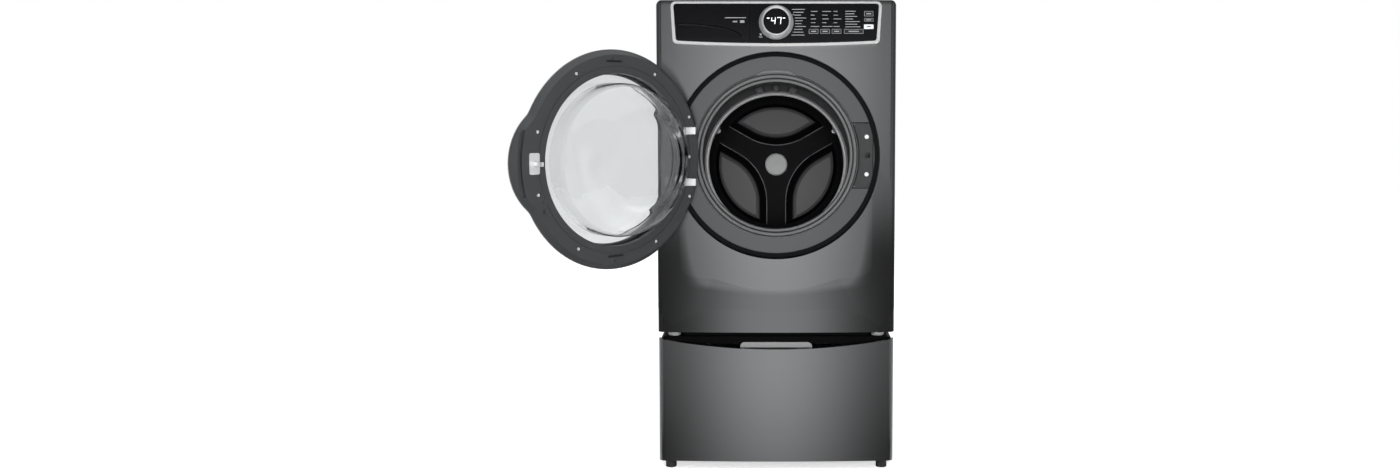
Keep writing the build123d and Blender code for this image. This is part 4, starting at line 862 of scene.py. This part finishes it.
class WASHER_OT_console(bpy.types.Operator):
    """Print the console: display figures, programme and option rows, key signs"""

    bl_idname = "washer.console"
    bl_label = "Console print"

    def execute(self, context):
        glow = lit("lit_display_white", (0.9, 0.92, 0.93), 1.0)
        # Printed marks, given a faint painted glow
        ink_with_painted_glow = lit("printed_grey_painted_glow", tuple(c * 0.4 for c in finishes().print_white), 0.1)
        face = KNOB.to_3x3() @ FRONT
        height = sizes().mark_height
        rows = self.programme_rows() + self.option_rows()
        bars("programme_print", rows, on_panel, face, RIGHT, ink_with_painted_glow, "cabinet", height)
        self.figures(glow)
        self.dispenser_marks(ink_with_painted_glow, face, height)
        self.key_signs(ink_with_painted_glow, face, height)
        return {"FINISHED"}

    def programme_rows(self):
        """Arc of ten programme names right of the knob with a dot by one, and a small sign below its left."""
        widths = (0.037, 0.029, 0.019, 0.032, 0.021, 0.018, 0.031, 0.024, 0.030, 0.037)
        top = 0.0352
        pitch = 0.0081
        marks = []
        for k, width in enumerate(widths):
            z = top - pitch * k
            x = 0.0435 + 0.0105 * (1 - abs(z / 0.037) ** 2)
            marks.append((x + width / 2, z - 0.0005, width, 0.0020))
        marks.append((0.0487, 0.0200, 0.0034, 0.0034))
        marks.extend([(-0.0437, -0.0365, 0.0055, 0.0055), (-0.0437, -0.0440, 0.0105, 0.0018)])
        return marks

    def option_rows(self):
        """Three columns of five settings, and a list of seven options."""
        setting = (0.0290, 0.0107, 0.0018)
        option = (0.0296, 0.0074, 0.0019)
        columns = ((0.0980, setting, (0.019, 0.011, 0.015, 0.013, 0.024)),
                   (0.1305, setting, (0.025, 0.015, 0.018, 0.012, 0.029)),
                   (0.1625, setting, (0.011, 0.013, 0.022, 0.010, 0.017)),
                   (0.1955, option, (0.030, 0.026, 0.034, 0.022, 0.041, 0.034, 0.043)))
        marks = []
        for x, (top, pitch, thick), widths in columns:
            for k, width in enumerate(widths):
                marks.append((x + width / 2, top - pitch * k, width, thick))
        return marks

    def figures(self, glow):
        """The two figures of the remaining minutes, in leaning bars, and a dash on either side."""
        lit_bars = {"4": "bcfg", "7": "abc"}
        w = 0.0120
        h = 0.0092
        t = 0.0019
        gap = 0.0003
        lean = 0.1
        outlines = []
        for i, figure in enumerate("47"):
            x0 = -0.0140 + i * 0.0160
            strokes = {
                "a": (x0, h - t / 2, x0 + w, h + t / 2),
                "b": (x0 + w - t, gap, x0 + w, h),
                "c": (x0 + w - t, -h, x0 + w, -gap),
                "f": (x0, gap, x0 + t, h),
                "g": (x0, -t / 2, x0 + w, t / 2),
            }
            for key in lit_bars[figure]:
                a, b, c, d = strokes[key]
                outlines.append([(a + lean * b, b), (c + lean * b, b), (c + lean * d, d), (a + lean * d, d)])
        for x in (-0.0255, 0.0185):
            outlines.append([(x, 0.0066), (x + 0.007, 0.0066), (x + 0.007, 0.0088), (x, 0.0088)])
        face_of_display = 0.0221

        def place(x, z, lift):
            return KNOB @ Vector((x, -face_of_display - lift, z + 0.001))

        mesh = plate_mesh("display_figures", outlines, place, 0.0003)
        piece("display_figures", mesh, glow, "cabinet", smooth=False)

    def dispenser_marks(self, ink_with_painted_glow, face, height):
        """Short plain print on the dispenser front."""
        marks = [(-0.1150, 0.0110, 0.0600, 0.0022), (-0.1165, 0.0, 0.0130, 0.0040), (-0.0960, 0.0, 0.0120, 0.0070)]
        bars("dispenser_print", marks, on_panel, face, RIGHT, ink_with_painted_glow, "dispenser", height)

    def key_signs(self, ink_with_painted_glow, face, height):
        """Plain signs on the keys, and the rims round them."""
        thick = 0.0009

        def place(x, z):
            return KNOB @ Vector((x, -0.0011, z))

        for key in ("temp", "soil", "spin", "options", "start", "pause"):
            low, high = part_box(key + "_key")
            x = (low.x + high.x) / 2
            z = (KNOB.inverted() @ centre(key + "_key")).z + 0.0004
            half_w = (high.x - low.x) / 2 - 0.0017
            half_h = (high.z - low.z) / 2 - 0.0028
            marks = [(x, z + half_h, 2 * half_w, thick), (x, z - half_h, 2 * half_w, thick),
                     (x - half_w, z, thick, 2 * half_h), (x + half_w, z, thick, 2 * half_h),
                     (x, z, half_w * 1.1, 0.0030)]
            bars(key + "_sign", marks, place, face, RIGHT, ink_with_painted_glow, key + "_button", height)
        middle = centre("power_key")
        marks = [(middle.x, (KNOB.inverted() @ middle).z + 0.0004, 0.012, 0.0026)]
        dark = bpy.data.materials["smoked_key_plastic"]
        bars("power_sign", marks, place, face, RIGHT, dark, "power_button", height)


class WASHER_OT_fasteners(bpy.types.Operator):
    """Drive the screws of the back and the latch plate, and add the latch joint and the door's vents and plug"""

    bl_idname = "washer.fasteners"
    bl_label = "Screws"

    def execute(self, context):
        zinc = bpy.data.materials["plain_steel"]
        bright = bpy.data.materials["satin_bright_trim"]
        low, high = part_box("rear_panel")
        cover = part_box("rear_access_cover")
        r = (cover[1].x - cover[0].x) / 2 - 0.009
        edge = 0.012
        inset = 0.03
        on_sheet = high.y + 0.0003
        on_cover = high.y + 0.0019
        middle = centre("rear_access_cover").z
        points = [round_y(2 * pi * (k + 0.5) / 8, r) + Vector((0, on_cover, middle)) for k in range(8)]
        for x in (low.x + edge, high.x - edge):
            for k in range(6):
                points.append(Vector((x, on_sheet, low.z + inset + (high.z - low.z - 2 * inset) * k / 5)))
        for k in range(1, 5):
            x = low.x + (high.x - low.x) * k / 5
            points.append(Vector((x, on_sheet, high.z - edge)))
            points.append(Vector((x, on_sheet, low.z + edge)))
        heads("rear_screws", points, [BACK] * len(points), zinc, "cabinet", sizes().screw_radius)
        low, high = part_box("door_lock")
        middle = centre("door_lock").z
        self.latch_line(low.y, middle, (high.z - low.z) / 2)
        self.door_vents(middle)
        points = [Vector((0.2605, low.y - 0.0002, middle + dz)) for dz in (-0.054, 0.054)]
        heads("latch_screws", points, [FRONT] * 2, bright, "cabinet", 0.0062, sides=20, tall=0.0042,
              share=0.7)
        return {"FINISHED"}

    def latch_line(self, y, middle, half):
        """Dark joint round the latch plate."""
        inner = 0.2388
        outer = 0.2842
        side = 0.2788
        steps = 24
        heights = [half * (1 - 2 * k / steps) for k in range(steps + 1)]
        right = [(min(side, sqrt(outer ** 2 - z ** 2)), z) for z in heights]
        left = [(sqrt(inner ** 2 - z ** 2), z) for z in reversed(heights)]
        path = [Vector((x, y + 0.001, middle + z)) for x, z in right + left + right[:1]]
        dark = finish("dark_joint_line", (0.008, 0.008, 0.009), 0.6)
        piece("latch_joint", tube_mesh("latch_joint", [path], 0.0016, 8), dark, "cabinet")

    def door_vents(self, middle):
        """Two dark vents and a round plug on the inner face of the door."""
        face = DOOR.to_3x3() @ BACK
        across = DOOR.to_3x3() @ RIGHT
        frame_face = -0.3499
        dark = bpy.data.materials["dark_joint_line"]
        grey = bpy.data.materials["charcoal_moulding"]

        def place(x, z):
            return DOOR @ Vector((x, frame_face, middle + z))

        marks = [(0.012, 0.262, 0.05, 0.006), (0.012, -0.256, 0.05, 0.006)]
        bars("door_vents", marks, place, face, across, dark, "door", 0.0004)
        heads("door_plug", [place(0.2322, -0.1)], [face], grey, "door", 0.0085, sides=20, flat=0.0008,
              tall=0.0016, share=0.6)


class WASHER_OT_rear(bpy.types.Operator):
    """Press the louvres in the rear sheet and cut the hose threads"""

    bl_idname = "washer.rear"
    bl_label = "Rear louvres and threads"

    def execute(self, context):
        zinc = bpy.data.materials["galvanised_sheet"]
        low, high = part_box("rear_panel")
        lowest = low.z + 0.06
        pitch = 0.018
        width = 0.007
        marks = []
        for x in (-0.075, 0.0, 0.075):
            for row in range(6):
                marks.append((x, lowest + pitch * row, sizes().louvre_length, width))

        def place(x, z):
            return Vector((x, high.y + 0.0008, z))

        louvres = bars("rear_louvres", marks, place, BACK, RIGHT, zinc, "cabinet", 0.0022)
        louvres.modifiers.new("soft_edges", "BEVEL").width = 0.0009
        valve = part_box("water_valve")
        middle = centre("water_valve").z
        grey = finish("inlet_thread", (0.55, 0.55, 0.56), 0.35, metallic=0.2, scale=300)
        stem = 0.028
        thread = 0.0131
        first = high.y + 0.0045
        turns = 6
        steps = 24
        pitch = 0.0026
        paths = []
        for x in (valve[0].x + stem, valve[1].x - stem):
            path = []
            for k in range(turns * steps + 1):
                on_axis = Vector((x, first + pitch * k / steps, middle))
                path.append(on_axis + round_y(2 * pi * k / steps, thread))
            paths.append(path)
        mesh = tube_mesh("inlet_threads", paths, 0.0006, 6)
        piece("inlet_threads", mesh, grey, "cabinet")
        return {"FINISHED"}


# Studio: each lamp's place, aim, size and power, and the reach of the reflection cards
LAMPS = {
    "strip_light": ((0, -5.0, 1.35), (0, -0.3, 1.0), (0.65, 2.6), 12.0),
    "front_fill": ((0.0, -4.2, 3.6), (0, -0.3, 0.8), (3.4, 1.6), 70.0),
    "left_fill": ((-3.6, -2.6, 2.4), (0, 0, 0.8), (1.6, 2.2), 30.0),
    "right_fill": ((3.6, -2.6, 2.4), (0, 0, 0.8), (1.6, 2.2), 30.0),
    "mouth_light": ((0, -2.6, 1.0), (0, 0, 0.87), (0.5, 0.5), 14.0),
    "rear_fill": ((0.6, 4.2, 3.2), (0, 0, 0.8), (3.0, 1.6), 60.0),
}
CARD_X = 6.5
CARD_Y = -5.2
CARD_Z = 6.0
CARD_GLOW = 0.02
WHITE = (1, 1, 1, 1)

# Camera that matches the photograph
CAMERA_PLACE = (0, -3.567, 1.077)
CAMERA_PITCH = 3.86
CAMERA_LENS = 28.97
CAMERA_SENSOR = 36.0
CAMERA_SHIFT = (-0.0544, -0.041)


class WASHER_OT_stage(bpy.types.Operator):
    """Set the pale floor, the soft studio light and the camera"""

    bl_idname = "washer.stage"
    bl_label = "Studio"

    def execute(self, context):
        scene = context.scene
        scene.view_settings.view_transform = "Standard"
        self.world(scene)
        self.floor()
        self.flags()
        for name, setting in LAMPS.items():
            self.lamp(name, *setting)
        camera = bpy.data.cameras.new("photo_view")
        camera.lens = CAMERA_LENS
        camera.sensor_width = CAMERA_SENSOR
        camera.shift_x, camera.shift_y = CAMERA_SHIFT
        obj = bpy.data.objects.new("photo_view", camera)
        obj.location = CAMERA_PLACE
        obj.rotation_euler = (radians(90 - CAMERA_PITCH), 0, 0)
        scene.collection.objects.link(obj)
        scene.camera = obj
        return {"FINISHED"}

    def seen(self, tree, kinds):
        """Value that is 1 for the given kinds of ray."""
        path = tree.nodes.new("ShaderNodeLightPath")
        total = path.outputs[kinds[0]]
        for kind in kinds[1:]:
            total = calc(tree, "MAXIMUM", total, path.outputs[kind])
        return total

    def world(self, scene):
        """White to look at, softer as a light."""
        world = bpy.data.worlds.new("studio_white")
        world.use_nodes = True
        tree = world.node_tree
        shade = tree.nodes["Background"]
        seen = self.seen(tree, ("Is Camera Ray", "Is Glossy Ray", "Is Transmission Ray"))
        fill(tree, shade, {"Color": WHITE, "Strength": between(tree, seen, 0.45, 1.0)})
        scene.world = world

    def floor(self):
        """Wide pale floor that keeps the shadow."""
        mesh = bpy.data.meshes.new("studio_floor")
        s = 9.0
        mesh.from_pydata([(-s, -s, 0), (s, -s, 0), (s, s, 0), (-s, s, 0)], [], [(0, 1, 2, 3)])
        mat, tree, shader = new_material("pale_floor")
        tone = tinted(tree, grain(tree, 6.0), (0.86, 0.86, 0.86), 0.01)
        seen = self.seen(tree, ("Is Camera Ray", "Is Transmission Ray"))
        fill(tree, shader, {"Base Color": tone, "Roughness": 0.9, "Emission Color": WHITE,
                            "Emission Strength": between(tree, seen, 0.0, 0.62)})
        mesh.materials.append(mat)
        obj = bpy.data.objects.new("studio_floor", mesh)
        bpy.context.scene.collection.objects.link(obj)

    def flags(self):
        """Cards that only reflections see: graded in front and on the floor, grey beside the cabinet."""
        for x, side in ((-CARD_X, "left"), (CARD_X, "right")):
            for part, glow, y0, y1 in (("near", 0.25, CARD_Y, -1.2), ("side", 0.32, -1.2, 5.0)):
                self.card(side + "_" + part + "_card", glow, [(x, y0, -0.5), (x, y1, -0.5), (x, y1, CARD_Z),
                                                              (x, y0, CARD_Z)])
        near, up = -0.37, 0.004
        floor = self.card("floor_card", CARD_GLOW, [(-CARD_X, near, up), (-CARD_X, CARD_Y, up), (CARD_X, CARD_Y, up),
                                                    (CARD_X, near, up)])
        self.graded(floor, 1, (-0.10, 0.13), (-0.52, 0.30), 1.1)
        front = self.card("front_card", CARD_GLOW, [(-CARD_X, CARD_Y, 0.0), (CARD_X, CARD_Y, 0.0),
                                                    (CARD_X, CARD_Y, CARD_Z), (-CARD_X, CARD_Y, CARD_Z)])
        self.graded(front, 2, (0.28, 0.65), (-1.1, 3.0), 1.5)

    def graded(self, card, axis, wide, peak, most):
        """Let a card's glow fall off sideways and rise again far out; width and peak change along one axis."""
        tree = card.data.materials[0].node_tree
        place = axes(tree)
        width = calc(tree, "MULTIPLY_ADD", place[axis], *wide)
        top = calc(tree, "MINIMUM", calc(tree, "MULTIPLY_ADD", place[axis], *peak), most)
        share = calc(tree, "DIVIDE", calc(tree, "ABSOLUTE", place[0]), width)
        glow = ramp(tree, share, 0.0, 2.2, calc(tree, "MAXIMUM", top, CARD_GLOW), CARD_GLOW)
        glow = calc(tree, "ADD", glow, ramp(tree, share, 2.7, 4.0, 0.0, 0.3))
        fill(tree, tree.nodes["Principled BSDF"], {"Emission Strength": glow})

    def card(self, name, glow, corners):
        """One card, seen by reflections alone."""
        mat, tree, shader = new_material(name)
        tone = tinted(tree, grain(tree, 4.0), (0.01, 0.01, 0.01), 0.1)
        fill(tree, shader, {"Base Color": tone, "Roughness": 1.0, "Emission Color": WHITE, "Emission Strength": glow})
        mesh = bpy.data.meshes.new(name)
        mesh.from_pydata(corners, [], [(0, 1, 2, 3)])
        mesh.materials.append(mat)
        obj = bpy.data.objects.new(name, mesh)
        bpy.context.scene.collection.objects.link(obj)
        for ray in ("camera", "diffuse", "transmission", "volume_scatter", "shadow"):
            setattr(obj, "visible_" + ray, False)
        return obj

    def lamp(self, name, place, aim, size, power):
        """Soft rectangular lamp aimed at a point, not seen in gloss or glass."""
        light = bpy.data.lights.new(name, "AREA")
        light.shape = "RECTANGLE"
        light.size, light.size_y = size
        light.energy = power
        obj = bpy.data.objects.new(name, light)
        obj.location = place
        obj.visible_glossy = False
        obj.visible_transmission = False
        obj.rotation_euler = (Vector(aim) - Vector(place)).to_track_quat("-Z", "Y").to_euler()
        bpy.context.scene.collection.objects.link(obj)


class WASHER_PT_dresser(bpy.types.Panel):
    """Sidebar list of the washer's finishes, sizes and making steps"""

    bl_idname = "WASHER_PT_dresser"
    bl_label = "Front Load Washer"
    bl_space_type = "VIEW_3D"
    bl_region_type = "UI"
    bl_category = "Washer"

    def draw(self, context):
        for settings in (context.scene.washer_finishes, context.scene.washer_sizes):
            for name in settings.__annotations__:
                self.layout.prop(settings, name)
        for operator in OPERATORS:
            self.layout.operator(operator.bl_idname)


OPERATORS = (WASHER_OT_dress, WASHER_OT_seal, WASHER_OT_springs, WASHER_OT_drum, WASHER_OT_console,
             WASHER_OT_fasteners, WASHER_OT_rear, WASHER_OT_stage)
CLASSES = (WasherFinishes, WasherSizes) + OPERATORS + (WASHER_PT_dresser,)


def register():
    """Register the classes and their settings."""
    for cls in CLASSES:
        bpy.utils.register_class(cls)
    bpy.types.Scene.washer_finishes = bpy.props.PointerProperty(type=WasherFinishes)
    bpy.types.Scene.washer_sizes = bpy.props.PointerProperty(type=WasherSizes)


def unregister():
    """Remove the settings and the classes."""
    del bpy.types.Scene.washer_sizes
    del bpy.types.Scene.washer_finishes
    for cls in reversed(CLASSES):
        bpy.utils.unregister_class(cls)


def main():
    """Make the whole scene."""
    register()
    for operator in OPERATORS:
        area, name = operator.bl_idname.split(".")
        getattr(getattr(bpy.ops, area), name)()
    bpy.context.view_layer.update()


if __name__ == "__main__":
    main()
